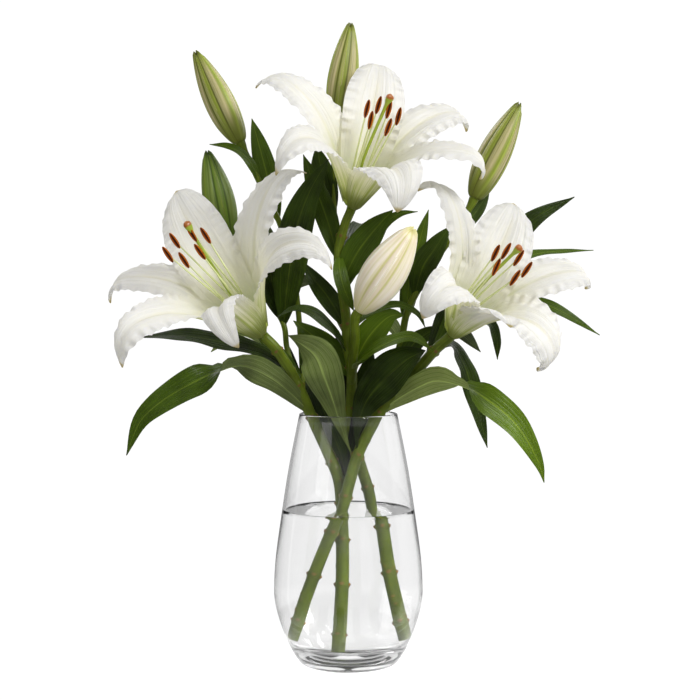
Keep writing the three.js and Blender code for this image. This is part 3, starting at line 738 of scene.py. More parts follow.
def tepal_midrib(bloom, shape, first_reach, u):
    """The midrib of a tepal: places, directions sideways and inwards, lean and reach from the axis.

    The lean at u is first + (last - first) u^curl, and more in the hook of the tip. Reach and rise
    are the sums of its sine and cosine. The tip sweeps sideways, and the blade twists about the midrib.
    """
    azimuth, length, last_lean, curl, sweep, _, twist = shape
    base, axis, up, cross = bloom_frame(bloom)
    outwards = turned(up, cross, np.radians(azimuth))
    tangential = turned(cross, -up, np.radians(azimuth))
    lean = TEPAL_FIRST_LEAN + (last_lean - TEPAL_FIRST_LEAN) * u**curl
    lean = np.radians(lean + TIP_HOOK * smoothstep(HOOK_START, 1, u))
    mean_lean = (lean[1:] + lean[:-1]) / 2
    step = length * MM / len(mean_lean)
    reach = first_reach * MM + sums(np.sin(mean_lean)) * step
    rise = sums(np.cos(mean_lean)) * step
    drift = sweep * MM * np.maximum((u - SWEEP_START) / (1 - SWEEP_START), 0) ** 2
    places = base + rise[:, None] * axis + reach[:, None] * outwards + drift[:, None] * tangential
    facing = turned(-outwards, axis, lean)
    twisted = np.radians(twist) * smoothstep(0.1, 0.9, u)
    sideways = turned(tangential, facing, twisted)
    inward = turned(facing, -tangential, twisted)
    return places, sideways, inward, lean, reach


def tepal_lift(u, v, distance, ruffles, sizes, wobble):
    """How far the face of a tepal is lifted off its arc.

    A furrow runs along the midrib and a swelling on both sides of it, the edges fall away towards
    the tip, fine pleats run lengthwise, and ruffles grow towards the edge with |v|^3.5.
    """
    body = np.sin(np.pi * u)
    open_part = smoothstep(0.12, 0.5, u)
    along = CIRCLE * ruffles * u + 1.3 * np.sin(CIRCLE * 2.3 * u + wobble[0])
    phase = np.where(v < 0, wobble[1], wobble[2])
    ruffle = sizes.ruffle_depth * (np.sin(along + phase) + 0.7 * np.sin(0.53 * along + wobble[3]))
    lift = ruffle * np.abs(v) ** 3.5 * open_part * np.minimum(1.6 * body, 1)
    furrow = -0.6 * hump(distance, FURROW_WIDTH * MM)
    swelling = np.sin(np.pi * np.abs(v)) ** 1.5 * open_part
    fall = -1.1 * v**4 * smoothstep(0.3, 0.75, u)
    lift = lift + sizes.midrib_depth * (furrow + swelling + fall) * body
    pleats = np.cos(CIRCLE * 4 * v + wobble[3]) + 0.7 * np.cos(CIRCLE * 7.3 * v + wobble[0])
    return lift + PLEAT_DEPTH * MM * pleats * (1 - v**2) * body


def tepal_body(bloom, shape, kind, sizes, draw, rows=76, across=40):
    """A tepal, wide if its kind is inner, or narrower with a high keel if it is outer.

    Across, each row is an arc that is hollow about the bloom's axis and flattens as it leans out: its
    curvature is cos(lean) / reach + cup sin(pi u), less a roll back near the tip. The face is then
    lifted by tepal_lift. The thickness falls along the tepal, with a keel under the midrib.
    """
    u = np.linspace(0, 1, rows + 1)
    v = blade_columns(across)
    centre, sideways, inward, lean, reach = tepal_midrib(bloom, shape, TEPAL_RADIUS[kind], u)
    length, share = shape[1], shape[5]
    half = sizes.inner_half_width if kind == "inner" else sizes.outer_half_width
    half = half * (1 - (1 - share) * smoothstep(0.05, 0.45, u))
    width = np.maximum(half * tepal_width(u), LEAST_TEPAL_WIDTH * MM)[:, None]
    bend = np.cos(lean) / np.maximum(reach, LEAST_REACH * MM) + TEPAL_CUP / MM * np.sin(np.pi * u)
    bend = (bend - TEPAL_ROLL / MM * smoothstep(0.4, 0.85, u) + LEAST_BEND / MM)[:, None]
    angle = bend * width * v
    wobble = draw.uniform(0, CIRCLE, 4)
    ruffles = sizes.ruffles * length / RUFFLED_LENGTH
    lift = (1 - np.cos(angle)) / bend + tepal_lift(u[:, None], v, width * v, ruffles, sizes, wobble)
    sideways, inward = sideways[:, None], inward[:, None]
    middle = centre[:, None] + (np.sin(angle) / bend)[..., None] * sideways + lift[..., None] * inward
    normal = turned(inward, -sideways, angle)
    keel = KEEL_HEIGHT[kind] * hump(width * v, KEEL_WIDTH * MM) * (1.05 - u)[:, None]
    blunt_tip = smoothstep(0.97, 0.995, u)[:, None] * (1 - v**2)
    thickness = (0.9 - 0.35 * u)[:, None] * np.sqrt(1 - v**2) + keel + blunt_tip
    return blade_body(middle, sizes.tepal_thickness * thickness, normal, vectors_of(u[:, None], v))


def cup_body(bloom, sides=48):
    """The green cup under a bloom: a turned profile about the bloom's axis, with six slight lobes."""
    base, axis, up, cross = bloom_frame(bloom)
    profile = spline(CUP_PROFILE, np.linspace(0, 1, 41)) * MM
    angle = ring_angles(sides)
    radius = np.maximum(profile[:, :1], LEAST_RADIUS * MM) * (1 + 0.03 * np.cos(6 * angle))
    grid = base + profile[:, 1, None, None] * axis + radius[..., None] * turned(up, cross, angle)
    share = np.linspace(0, 1, len(profile))[:, None]
    return closed_body(grid, vectors_of(share, angle / CIRCLE, 0.0))


def filament_body(bloom, k, sizes, sides=12):
    """A filament: a thin tube that tapers to half its foot's radius.

    It stands in the throat beside the axis, and bends out to end just behind its anther.
    """
    base, axis, up, cross = bloom_frame(bloom)
    outwards = turned(up, cross, CIRCLE * k / STAMENS)
    root = base / MM + STAMEN_FOOT * axis + FILAMENT_ROOT_RING * outwards
    low = base / MM + (STAMEN_FOOT + FILAMENT_RISE) * axis + FILAMENT_LOW_RING * outwards
    end = np.add(bloom["anthers"][k], (0, ANTHER_BACK, 0))
    places, tangents, _ = route_places([root, low, end], 30)
    taper = sizes.filament_radius * np.linspace(1, 0.5, len(places))
    return tube_body(places, tangents, np.repeat(taper[:, None], sides, axis=1))


def anther_body(bloom, k, sizes, draw, rows=30, sides=28):
    """An anther: a long swollen body with a furrow between its two lobes, a little bent.

    The radius is r sin(pi u)^0.42 times 1 - 0.2 cos(2 a) - 0.5 exp(-(a / 0.42)^2), with a the angle
    from the front, less a fork at the furrow's lower end. The middle line is bent back by
    1 - (2 u - 1)^2. The second mark is 1 in the furrow.
    """
    axis = bloom_frame(bloom)[1]
    lie = unit([axis[0] + draw.uniform(-0.08, 0.08), -0.12 * draw.uniform(0, 2), axis[2]])
    u = np.linspace(0, 1, rows + 1)
    bow = ANTHER_BOW * MM * (1 - (2 * u - 1) ** 2)
    along = (u - ANTHER_HOLD) * sizes.anther_length
    places = np.array(bloom["anthers"][k]) * MM + along[:, None] * lie
    places[:, 1] += bow
    tangents = unit(np.gradient(places, axis=0))
    from_front = ring_angles(sides) - np.pi / 2
    front = np.abs((from_front + np.pi) % CIRCLE - np.pi)
    section = 1 - 0.2 * np.cos(2 * from_front) - 0.5 * hump(front, 0.42)
    fork = 0.35 * hump(u - 0.02, 0.06)[:, None] * hump(front, 0.8)
    swell = np.sin(np.pi * np.clip(u, 0.012, 0.988)) ** 0.42
    radius = sizes.anther_radius * swell[:, None] * (section - fork)
    furrow = np.broadcast_to(hump(front, 0.5), radius.shape)
    return with_mark(tube_body(places, tangents, radius), 1, furrow)


def pistil_body(bloom, rows=90, sides=30):
    """The pistil: a six-ribbed ovary, a slender style that widens upwards and a three-lobed stigma."""
    base, axis, _, _ = bloom_frame(bloom)
    route = [base / MM + (PISTIL_FOOT + rise) * axis for rise in PISTIL_RISES]
    places, tangents, _ = route_places([*route, np.array(bloom["stigma"], float)], rows)
    u = np.linspace(0, 1, rows + 1)[:, None]
    angle = ring_angles(sides)
    ovary = OVARY_RADIUS * (1 - smoothstep(OVARY_SHARE - 0.05, OVARY_SHARE + 0.03, u))
    ovary = ovary * (1 + 0.07 * np.cos(6 * angle))
    style = (STYLE_RADIUS + 0.5 * u) * smoothstep(OVARY_SHARE - 0.08, OVARY_SHARE, u)
    knob = smoothstep(STYLE_SHARE - 0.06, STYLE_SHARE + 0.02, u) * (1 + 0.18 * np.cos(3 * angle))
    past = np.maximum(u - STIGMA_SHARE, 0) / (1.001 - STIGMA_SHARE)
    dome = np.sqrt(np.clip(1 - past**2, 0, 1))
    radius = (np.maximum(ovary, style) + STIGMA_RADIUS * knob) * dome
    return tube_body(places, tangents, radius * MM)


def bud_body(shape, rows=64, sides=72):
    """A closed bud: it swells from its seat, is fullest at two fifths and narrows to three points.

    Round it, three wide outer tepals bulge between pairs of seams, each with a raised middle rib, and
    the ribs of the inner tepals stand between the pairs. All of it fades towards the seat. Notches
    part the three points at the tip. The second mark is the angle from the nearest outer rib, in
    thirds of a turn.
    """
    base, tip = np.array(shape["base"]) * MM, np.array(shape["tip"]) * MM
    along = unit(tip - base)
    u = np.linspace(0, 1, rows + 1)[:, None]
    core = BUD_BASE_RADIUS + (shape.get("tip_radius", BUD_TIP_RADIUS) - BUD_BASE_RADIUS) * u
    swell = np.maximum(np.sin(np.pi * u ** shape.get("fullness", BUD_FULLNESS)), 0) ** 0.85
    third = CIRCLE / 3
    angle = ring_angles(sides) - np.radians(shape["turn"]) + BUD_SPIRAL * u
    offset = (angle + third / 2) % third - third / 2
    outer_rib = 0.035 * hump(offset, 0.13)
    inner_rib = 0.03 * hump(np.abs(offset) - third / 2, 0.14)
    seam = 0.075 * hump(np.abs(offset) - np.radians(BUD_SEAM_ANGLE), 0.075)
    relief = 0.05 * np.cos(3 * angle) + outer_rib - seam + inner_rib
    radius = (core + (shape["radius"] - core) * swell) * (1 + relief * smoothstep(0.0, 0.25, u))
    cleft = 1 - np.cos(3 * angle)
    radius = radius * (1 - 0.3 * cleft * smoothstep(0.9, 0.98, u))
    radius = radius * (1 - 0.4 * smoothstep(0.97, 1.0, u))
    notch = BUD_NOTCH * cleft * smoothstep(0.93, 1.0, u)
    places = base + u * (tip - base)
    tangents = np.repeat(along[None], rows + 1, axis=0)
    body = tube_body(places, tangents, radius * MM)
    points = body[0]
    points[: radius.size] -= notch.reshape(-1, 1) * MM * along
    points[-1] -= 2 * BUD_NOTCH * MM * along
    return with_mark(body, 1, offset / third)


def stalk_end(seat, axis):
    """The last two points of a stalk, straight along the axis of what it carries and just in it."""
    seat = np.array(seat, float)
    return [tuple(seat - STRAIGHT_END * axis), tuple(seat + STALK_SUNK * axis)]


def leaf_scars(length, draw):
    """Leaf scars along a stem: a facing pair and one between at each node, and a few single ones."""
    nodes = np.arange(NODE_SPACING * 0.6, length - SCAR_FREE_TOP, NODE_SPACING)
    nodes = nodes + draw.uniform(-NODE_SHIFT, NODE_SHIFT, len(nodes))
    turn = draw.uniform(-0.35, 0.35, len(nodes))
    scars = [(place, angle + step, 1.0) for place, angle in zip(nodes, turn) for step in (0, np.pi)]
    scars += [(place + 1.5, angle + np.pi / 2, 0.7) for place, angle in zip(nodes, turn)]
    single = draw.uniform(10, length - SCAR_FREE_TOP, int(length / SINGLE_SCAR_SPACING))
    return scars + [(place, draw.uniform(0, CIRCLE), draw.uniform(0.3, 0.6)) for place in single]


def stalk_body(route, foot_radius, top_radius, seat_radius, sides, scars=()):
    """A stalk: a tube of slowly changing radius with faint ridges, and scars where leaves have fallen.

    Under water it is a little thinner, as the water makes it look thicker, and at its end it widens
    to its seat. A scar of size k at length s and angle a raises the radius by height k times
    exp(-((x - s) / length)^2 - (r (b - a) / width)^2), steeper on its upper side. The third mark is
    how far a point belongs to a scar.
    """
    length = route_places(route, 2)[2] / MM
    rows = int(length / STALK_ROW)
    places, tangents, _ = route_places(route, rows)
    u = np.linspace(0, 1, rows + 1)[:, None]
    angle = ring_angles(sides)
    radius = foot_radius + (top_radius - foot_radius) * u + STEM_RIDGE * np.sin(5 * angle + 9 * u)
    sunk = smoothstep(WATER_LEVEL + WATER_BLEND, WATER_LEVEL - WATER_BLEND, places[:, 2:] / MM)
    radius = radius * (1 - (1 - STEM_UNDER_WATER) * sunk)
    radius = radius + (seat_radius - radius) * smoothstep(1 - SEAT_LENGTH / length, 1, u)
    scarred = np.zeros((rows + 1, sides))
    for place, direction, size in scars:
        along = (u * length - place) / SCAR_LENGTH
        along = np.where(along > 0, along * SCAR_STEEPNESS, along)
        beside = ((angle - direction + np.pi) % CIRCLE - np.pi) * foot_radius / SCAR_WIDTH
        bump = size * np.exp(-(along**2) - beside**2)
        radius = radius + SCAR_HEIGHT * bump
        scarred = np.maximum(scarred, bump)
    return with_mark(tube_body(places, tangents, radius * MM), 2, scarred)


class Recipe:
    """The nodes of a material, or of the world, with short ways to write the common ones."""

    def __init__(self, name, kind="Material"):
        store = bpy.data.materials if kind == "Material" else bpy.data.worlds
        self.owner = store.new(name)
        self.owner.use_nodes = True
        self.tree = self.owner.node_tree
        self.tree.nodes.clear()
        self.output = self.tree.nodes.new("ShaderNodeOutput" + kind)

    def node(self, kind, inputs=(), **settings):
        """A shader node with its settings; its inputs are constants or other nodes' outputs."""
        node = self.tree.nodes.new("ShaderNode" + kind)
        for name, value in settings.items():
            setattr(node, name, value)
        for name, value in dict(inputs).items():
            if isinstance(value, bpy.types.NodeSocket):
                self.tree.links.new(value, node.inputs[name])
            else:
                node.inputs[name].default_value = value
        return node

    def math(self, operation, first, *others):
        """One operation on the first value, or on it and each of the others in turn."""
        for other in others or [0.0]:
            first = self.node("Math", {0: first, 1: other}, operation=operation).outputs[0]
        return first

    def plus(self, *values):
        return self.math("ADD", *values)

    def minus(self, first, second):
        return self.math("SUBTRACT", first, second)

    def times(self, *values):
        return self.math("MULTIPLY", *values)

    def highest(self, *values):
        return self.math("MAXIMUM", *values)

    def line(self, value, slope, start):
        """The value times the slope, and the start added."""
        return self.plus(self.times(value, slope), start)

    def step(self, value, low, high, top=1.0):
        """0 below low, top above high, smooth between them; falling where low is above high."""
        ends = {"From Min": low, "From Max": high, "To Max": top}
        if low > high:
            ends = {"From Min": high, "From Max": low, "To Min": top, "To Max": 0.0}
        inputs = {"Value": value, **ends}
        return self.node("MapRange", inputs, interpolation_type="SMOOTHSTEP").outputs["Result"]

    def band(self, value, middle, outer, inner, top=1.0):
        """0 further than outer from the middle, top nearer than inner, smooth between them."""
        return self.step(self.math("ABSOLUTE", self.minus(value, middle)), outer, inner, top)

    def level(self, factor, first, second):
        """A number between two numbers."""
        return self.node("Mix", {0: factor, 2: first, 3: second}).outputs[0]

    def mix(self, factor, first, second):
        """A colour between two colours."""
        first, second = (c if isinstance(c, bpy.types.NodeSocket) else (*c, 1) for c in (first, second))
        return self.node("Mix", {0: factor, 6: first, 7: second}, data_type="RGBA").outputs[2]

    def marks(self):
        """The three numbers that the mesh keeps in its attribute "place"."""
        place = self.node("Attribute", attribute_name="place").outputs["Vector"]
        return self.node("SeparateXYZ", {0: place}).outputs[:3]

    def place(self):
        """The object's own coordinates."""
        return self.node("TexCoord").outputs["Object"]

    def noise(self, scale, detail=3.0, vector=None):
        """Noise from 0 to 1 on the object's own coordinates, or on the given vector."""
        inputs = {"Vector": vector or self.place(), "Scale": scale, "Detail": detail}
        return self.node("TexNoise", inputs).outputs[0]

    def streaks(self, along, across, rows, columns):
        """Noise drawn out along the piece: few spots along it and many across."""
        parts = {0: self.times(along, rows), 1: self.times(across, columns)}
        return self.noise(1.0, vector=self.node("CombineXYZ", parts).outputs[0])

    def bump(self, height, strength, distance):
        inputs = {"Height": height, "Strength": strength, "Distance": distance}
        return self.node("Bump", inputs).outputs[0]

    def living(self, colour, normal, roughness, specular, soft=0.0, depth=(), **others):
        """A living surface; soft is the share of light that spreads under it, as far as the depth."""
        inputs = {
            "Base Color": colour, "Normal": normal, "Roughness": roughness,
            "Specular IOR Level": specular,
        }
        if soft:
            inputs |= {"Subsurface Weight": soft, "Subsurface Radius": depth, "Subsurface Scale": 1.0}
        return self.node("BsdfPrincipled", {**inputs, **others})

    def shone_through(self, share, shader, colour):
        """The shader with a share of light that comes through from behind."""
        return self.blend(share, shader, self.node("BsdfTranslucent", {"Color": colour}))

    def blend(self, share, first, second):
        """The first shader with a share of the second."""
        return self.node("MixShader", {0: share, 1: first.outputs[0], 2: second.outputs[0]})

    def finish(self, shader):
        self.tree.links.new(shader.outputs[0], self.output.inputs["Surface"])
        return self.owner


def tepal_material(colours):
    """White, cream beside the midrib, green-yellow in the throat, ribbed green outside, with painted
    light given off by the inner face towards the throat.
    """
    r = Recipe("lily_tepal")
    u, v, under = r.marks()
    side = r.math("ABSOLUTE", v)
    midrib = r.step(side, 0.17, 0.0)
    streaks = r.streaks(u, v, 2.0, 34)
    cream_rib = r.times(midrib, r.step(u, 0.98, 0.62), 0.5)
    cream = r.highest(r.step(u, 0.7, 0.1, 0.6), cream_rib)
    cream = r.times(cream, r.line(streaks, 0.7, 0.62))
    colour = r.mix(cream, colours.tepal, colours.tepal_cream)
    throat_rib = r.times(midrib, r.step(u, 0.5, 0.15), 0.75)
    throat = r.highest(r.step(u, 0.34, 0.06), throat_rib)
    colour = r.mix(r.times(throat, 0.5), colour, colours.throat)
    wash = r.times(r.step(u, 0.62, 0.1), under, 0.75)
    colour = r.mix(wash, colour, colours.tepal_outside)
    ribs = r.highest(r.step(side, 0.13, 0.02), r.band(side, 0.42, 0.12, 0.0, 0.45))
    ribs = r.times(ribs, r.step(u, 0.75, 0.15))
    green_lines = r.times(r.step(streaks, 0.42, 0.62), r.step(u, 0.5, 0.1))
    outside = r.highest(ribs, green_lines, r.step(u, 0.24, 0.05))
    colour = r.mix(r.times(outside, under, 0.9), colour, colours.throat)
    colour = r.mix(r.times(r.step(u, 0.2, 0.03), under, 0.85), colour, colours.bud_green)
    colour = r.mix(r.step(u, 0.968, 0.99, 0.8), colour, colours.tepal_tip)
    cream_lines = r.times(r.step(streaks, 0.55, 0.35), r.step(side, 1.0, 0.6), 0.2)
    colour = r.mix(cream_lines, colour, colours.tepal_cream)
    folds = r.times(r.streaks(u, v, 1.2, 11), 2.2)
    ruffles = r.math("SINE", r.plus(r.times(u, 95.0), r.times(r.noise(30.0, 1.0), 9.0)))
    ruffles = r.times(ruffles, r.step(side, 0.45, 0.95), r.step(u, 0.3, 0.5), 1.2)
    fine = r.noise(900.0, 2.0)
    height = r.plus(streaks, r.times(fine, 0.15), folds, ruffles)
    roughness = r.line(fine, 0.12, 0.42)
    # Painted light: the inner face gives off its own colour towards the throat, lifting the shade there
    glow = r.times(r.step(u, 0.55, 0.05), r.minus(1.0, under), THROAT_PAINTED_LIGHT)
    emission = {"Emission Color": colour, "Emission Strength": glow}
    normal = r.bump(height, 0.8, 0.0012)
    shader = r.living(
        colour, normal, roughness, specular=0.35, soft=0.3, depth=(0.0022, 0.0020, 0.0013), **emission
    )
    return r.finish(r.shone_through(0.48, shader, colour))


def leaf_material(colours):
    """Dark glossy green with parallel veins above, dull grey green beneath, each leaf its own shade,
    partly its own colour and partly painted light and shade.
    """
    r = Recipe("lily_leaf")
    coded, v, under = r.marks()
    u = r.math("MODULO", coded, 2.0)
    shade = r.math("DIVIDE", r.math("FLOOR", r.math("DIVIDE", coded, 2.0)), 9.0)
    midrib = r.step(r.math("ABSOLUTE", v), 0.075, 0.02)
    drift = r.times(r.noise(25.0, 1.0), 5.0)
    fine_wave, broad_wave = (
        r.math("ABSOLUTE", r.math("SINE", r.plus(r.times(v, pitch), drift))) for pitch in (22.0, 11.0)
    )
    broad_veins = r.step(broad_wave, 0.4, 0.0)
    streaks = r.streaks(u, v, 3.0, 40)
    veined = r.highest(r.times(broad_veins, 0.12), r.times(midrib, 0.5))
    upper = r.mix(veined, colours.leaf_upper, colours.leaf_vein)
    lower = r.mix(r.times(broad_veins, 0.7), colours.leaf_lower, colours.leaf_upper)
    lower = r.mix(midrib, lower, [1.9 * c for c in colours.leaf_lower])
    colour = r.mix(under, upper, lower)
    # Each leaf's shade brightens or darkens it: partly its own colour and partly painted light and
    # shade
    light = r.plus(r.times(shade, 1.3), r.times(r.noise(35.0), 0.9), r.times(streaks, 1.35))
    inputs = {
        "Hue": r.line(shade, -0.012, 0.506), "Saturation": 1.05,
        "Value": r.line(light, 2.1, -2.1), "Color": colour,
    }
    colour = r.node("HueSaturation", inputs).outputs[0]
    normal = r.bump(r.minus(r.times(streaks, 0.5), r.step(fine_wave, 0.4, 0.0)), 0.7, 0.0008)
    shader = r.living(colour, normal, r.line(under, 0.2, 0.34), specular=0.3)
    return r.finish(r.shone_through(0.14, shader, r.mix(0.6, colour, colours.leaf_glow)))


def stalk_material(colours):
    """Mid green with faint lengthwise streaks, darker in the vase and lighter above it as painted shade
    and light, and brown scars of fallen leaves.
    """
    r = Recipe("lily_stalk")
    u, turn, scar = r.marks()
    streaks = r.streaks(u, turn, 5.0, 22.0)
    blotches = r.noise(60.0)
    height = r.node("SeparateXYZ", {0: r.place()}).outputs[2]
    # Painted shade and light: the stems are darker in the vase and lighter above it, by height alone
    painted_light_above_vase = r.plus(r.step(height, 0.13, 0.27, 0.45), 0.88)
    value = r.times(r.line(r.plus(streaks, blotches), 0.95, 0.02), painted_light_above_vase)
    green = r.node("HueSaturation", {"Value": value, "Color": (*colours.stalk, 1)}).outputs[0]
    specks = r.step(r.noise(420.0, 1.0), 0.68, 0.76, 0.5)
    colour = r.mix(r.highest(r.step(scar, 0.18, 0.5), specks), green, colours.scar)
    normal = r.bump(r.plus(streaks, r.times(blotches, 0.3)), 0.3, 0.0008)
    shader = r.living(
        colour, normal, roughness=0.36, specular=0.22, soft=0.12, depth=(0.001, 0.0018, 0.0004)
    )
    return r.finish(shader)


def cup_material(colours):
    """Green at the stalk, paler green-yellow towards the tepals."""
    r = Recipe("lily_cup")
    share, turn, _ = r.marks()
    streaks = r.streaks(share, turn, 1.0, 26.0)
    pale = r.times(r.step(share, 0.1, 0.62), r.line(streaks, 0.5, 0.6))
    colour = r.mix(pale, colours.stalk, colours.throat)
    normal = r.bump(streaks, 0.3, 0.0008)
    shader = r.living(
        colour, normal, roughness=0.45, specular=0.4, soft=0.2, depth=(0.0012, 0.0018, 0.0004)
    )
    return r.finish(shader)


def bud_material(name, body, flank, rib, seam, flank_share):
    """Closed bud: body colour, paler flanks, raised ribs, darker seams, fine lengthwise streaks."""
    r = Recipe(name)
    u, offset, _ = r.marks()
    side = r.math("ABSOLUTE", offset)
    ribs = r.highest(r.step(side, 0.08, 0.01), r.step(side, 0.44, 0.49))
    streaks = r.streaks(u, offset, 1.6, 34.0)
    broad = r.streaks(u, offset, 0.8, 9.0)
    pale = r.plus(r.band(side, 0.2, 0.17, 0.05), r.step(broad, 0.5, 0.62, 0.5))
    pale = r.times(pale, r.line(streaks, 0.9, 0.3))
    ends = r.times(r.step(u, 0.06, 0.35), r.step(u, 0.97, 0.7))
    colour = r.mix(r.times(r.math("MINIMUM", pale, 1.0), ends, flank_share), body, flank)
    colour = r.mix(r.times(ribs, 0.6), colour, rib)
    colour = r.mix(r.step(u, 0.9, 0.99, 0.8), colour, seam)
    seams = r.band(side, 0.342, 0.055, 0.005, 0.85)
    foot = r.step(u, 0.3, 0.02, 0.5)
    dark_streaks = r.step(broad, 0.52, 0.34, 0.5)
    colour = r.mix(r.highest(seams, foot, dark_streaks), colour, seam)
    roughness = r.line(streaks, 0.2, 0.32)
    normal = r.bump(r.plus(streaks, broad), 0.3, 0.0008)
    shader = r.living(
        colour, normal, roughness, specular=0.3, soft=0.2, depth=(0.0018, 0.0020, 0.0008)
    )
    return r.finish(shader)


def anther_material(colours):
    """Rusty pollen on the lobes, a dark furrow between them, grainy all over."""
    r = Recipe("lily_anther")
    _, furrow, _ = r.marks()
    patches = r.step(r.noise(260.0, 2.0), 0.5, 0.68, 0.55)
    dark = r.highest(r.step(furrow, 0.03, 0.35), patches)
    colour = r.mix(dark, colours.pollen, colours.anther_seam)
    normal = r.bump(r.noise(1800.0, 2.0), 0.7, 0.0004)
    return r.finish(r.living(colour, normal, roughness=0.75, specular=0.1))


def filament_material(colours):
    """Pale green-yellow, greener at its root."""
    r = Recipe("lily_filament")
    u, turn, _ = r.marks()
    colour = r.mix(r.step(u, 0.45, 0.0), colours.filament, colours.style)
    normal = r.bump(r.streaks(u, turn, 8.0, 5.0), 0.2, 0.0003)
    shader = r.living(
        colour, normal, roughness=0.4, specular=0.4, soft=0.25, depth=(0.001, 0.001, 0.0005)
    )
    return r.finish(shader)


def pistil_material(colours):
    """Green ovary, yellow-green style, and a moist rusty top on the stigma."""
    r = Recipe("lily_pistil")
    u, turn, _ = r.marks()
    colour = r.mix(r.step(u, 0.35, 0.1), colours.style, colours.stalk)
    grain = r.noise(700.0, 2.0)
    uneven = r.plus(u, r.times(r.minus(grain, 0.5), 0.02))
    colour = r.mix(r.step(uneven, 0.955, 0.972), colour, colours.stigma)
    normal = r.bump(r.plus(grain, r.streaks(u, turn, 6.0, 8.0)), 0.25, 0.0005)
    shader = r.living(
        colour, normal, roughness=0.34, specular=0.5, soft=0.15, depth=(0.001, 0.0015, 0.0005)
    )
    return r.finish(shader)


def clear_material(name, ior, edge_shade, edge_start, wobble, passed):
    """A clear material with painted shade where it is seen edge on, a grey tint for dark surroundings,
    that lets a share of the lights' rays pass.
    """
    r = Recipe(name)
    # Painted shade: grey where the surface is seen edge on, in place of dark surroundings seen in the
    # edges
    edge = r.step(r.node("LayerWeight", {"Blend": 0.5}).outputs["Facing"], edge_start, 1.0)
    shader = r.node("BsdfPrincipled", {
        "Base Color": r.mix(edge, (1.0, 1.0, 1.0), edge_shade),
        "Roughness": 0.0,
        "IOR": ior,
        "Transmission Weight": 1.0,
        "Normal": r.bump(r.noise(9.0, 1.0), wobble, 0.002),
    })
    clear = r.node("BsdfTransparent", {"Color": (passed, passed, passed, 1)})
    return r.finish(r.blend(r.node("LightPath").outputs["Is Shadow Ray"], shader, clear))


def floor_material():
    """Matt white that turns clear far from the vase, so that no edge or horizon shows."""
    r = Recipe("studio_floor")
    distance = r.node("VectorMath", {0: r.place()}, operation="LENGTH").outputs["Value"]
    matt = r.node("BsdfPrincipled", {
        "Base Color": r.mix(r.times(r.noise(40.0, 2.0), 0.3), (0.93, 0.93, 0.93), (0.90, 0.90, 0.90)),
        "Roughness": 0.55,
        "Specular IOR Level": 0.3,
        "Emission Color": (1, 1, 1, 1),
        "Emission Strength": FLOOR_GLOW,
    })
    return r.finish(r.blend(r.step(distance, 0.07, 0.2), matt, r.node("BsdfTransparent")))


def surroundings():
    """White for the camera, soft for the flowers, pale through the glass, panelled for reflections.

    Reflections outside the glass are dim, brighter overhead and behind the flowers, with a tall bright
    panel on the right and a narrow one on the left. Rays that pass the glass and are mirrored inside
    it see a middling grey that is brighter just above the horizon, dimmer higher up, and striped
    steeply below. Light that reaches a piece after a bounce off another is soft, whether or not it
    passed the glass.
    """
    r = Recipe("studio", "World")
    x, y, z = r.node("SeparateXYZ", {0: r.node("TexCoord").outputs["Generated"]}).outputs[:3]
    ends = {"From Min": -1.0, "To Min": AMBIENT_LOW, "To Max": AMBIENT_HIGH}
    soft = r.node("MapRange", {"Value": z, **ends}).outputs[0]
    low = r.times(r.step(z, 0.02, 0.08), r.step(z, 0.3, 0.24), MIRRORED_INSIDE_LOW)
    high = r.times(r.step(z, 0.24, 0.32), MIRRORED_INSIDE_HIGH)
    inside = r.minus(r.plus(low, MIRRORED_INSIDE), high)
    stripes = r.step(r.math("COSINE", r.times(x, STRIPE_PITCH)), -0.3, 0.1)
    inside = r.level(r.step(z, -0.4, -0.6), inside, stripes)
    right = r.times(r.step(x, 0.3, 0.4), r.step(y, -0.1, 0.05), r.step(y, 0.85, 0.7), PANEL_RIGHT)
    left = r.times(r.step(x, -0.3, -0.4), r.step(y, 0.2, 0.27), r.step(y, 0.36, 0.27), PANEL_LEFT)
    above = r.times(r.step(z, 0.3, 0.9), MIRRORED_ABOVE)
    behind = r.times(r.step(y, 0.82, 0.97), MIRRORED_BEHIND)
    outside = r.plus(right, left, above, behind, MIRRORED)
    path = r.node("LightPath").outputs
    through = path["Is Transmission Ray"]
    mirrored = r.math("GREATER_THAN", path["Glossy Depth"], 0.5)
    scattered = r.math("GREATER_THAN", path["Diffuse Depth"], 0.5)
    scattered_more = r.math("GREATER_THAN", path["Diffuse Depth"], 1.5)
    levels = (
        (mirrored, outside), (through, THROUGH_GLASS), (r.times(through, mirrored), inside),
        (path["Is Camera Ray"], BACKGROUND), (scattered, soft), (scattered_more, AMBIENT_BOUNCED),
    )
    strength = soft
    for chosen, level in levels:
        strength = r.level(chosen, strength, level)
    return r.finish(r.node("Background", {"Color": (1, 1, 1, 1), "Strength": strength}))


def between(points):
    """The points, with more on the spline between them: SPAN_STEPS steps for each span."""
    return spline(points, np.linspace(0, 1, (len(points) - 1) * SPAN_STEPS + 1))


def vase_profile():
    """The closed section of the glass: foot, outside, a rounded rim and the inside to the middle."""
    outside, inside = between(VASE_OUTSIDE), between(VASE_INSIDE)
    middle = (outside[-1, 0] + inside[0, 0]) / 2
    half = (outside[-1, 0] - inside[0, 0]) / 2
    angle = np.linspace(0, np.pi, 13)[1:-1]
    start = outside[-1, 1]
    rim = vectors_of(middle + half * np.cos(angle), start + (RIM_HEIGHT - start) * np.sin(angle))
    profile = np.concatenate([FOOT_RECESS, outside, rim, inside])
    profile[:, 0] = np.maximum(profile[:, 0], LEAST_RADIUS)
    return profile


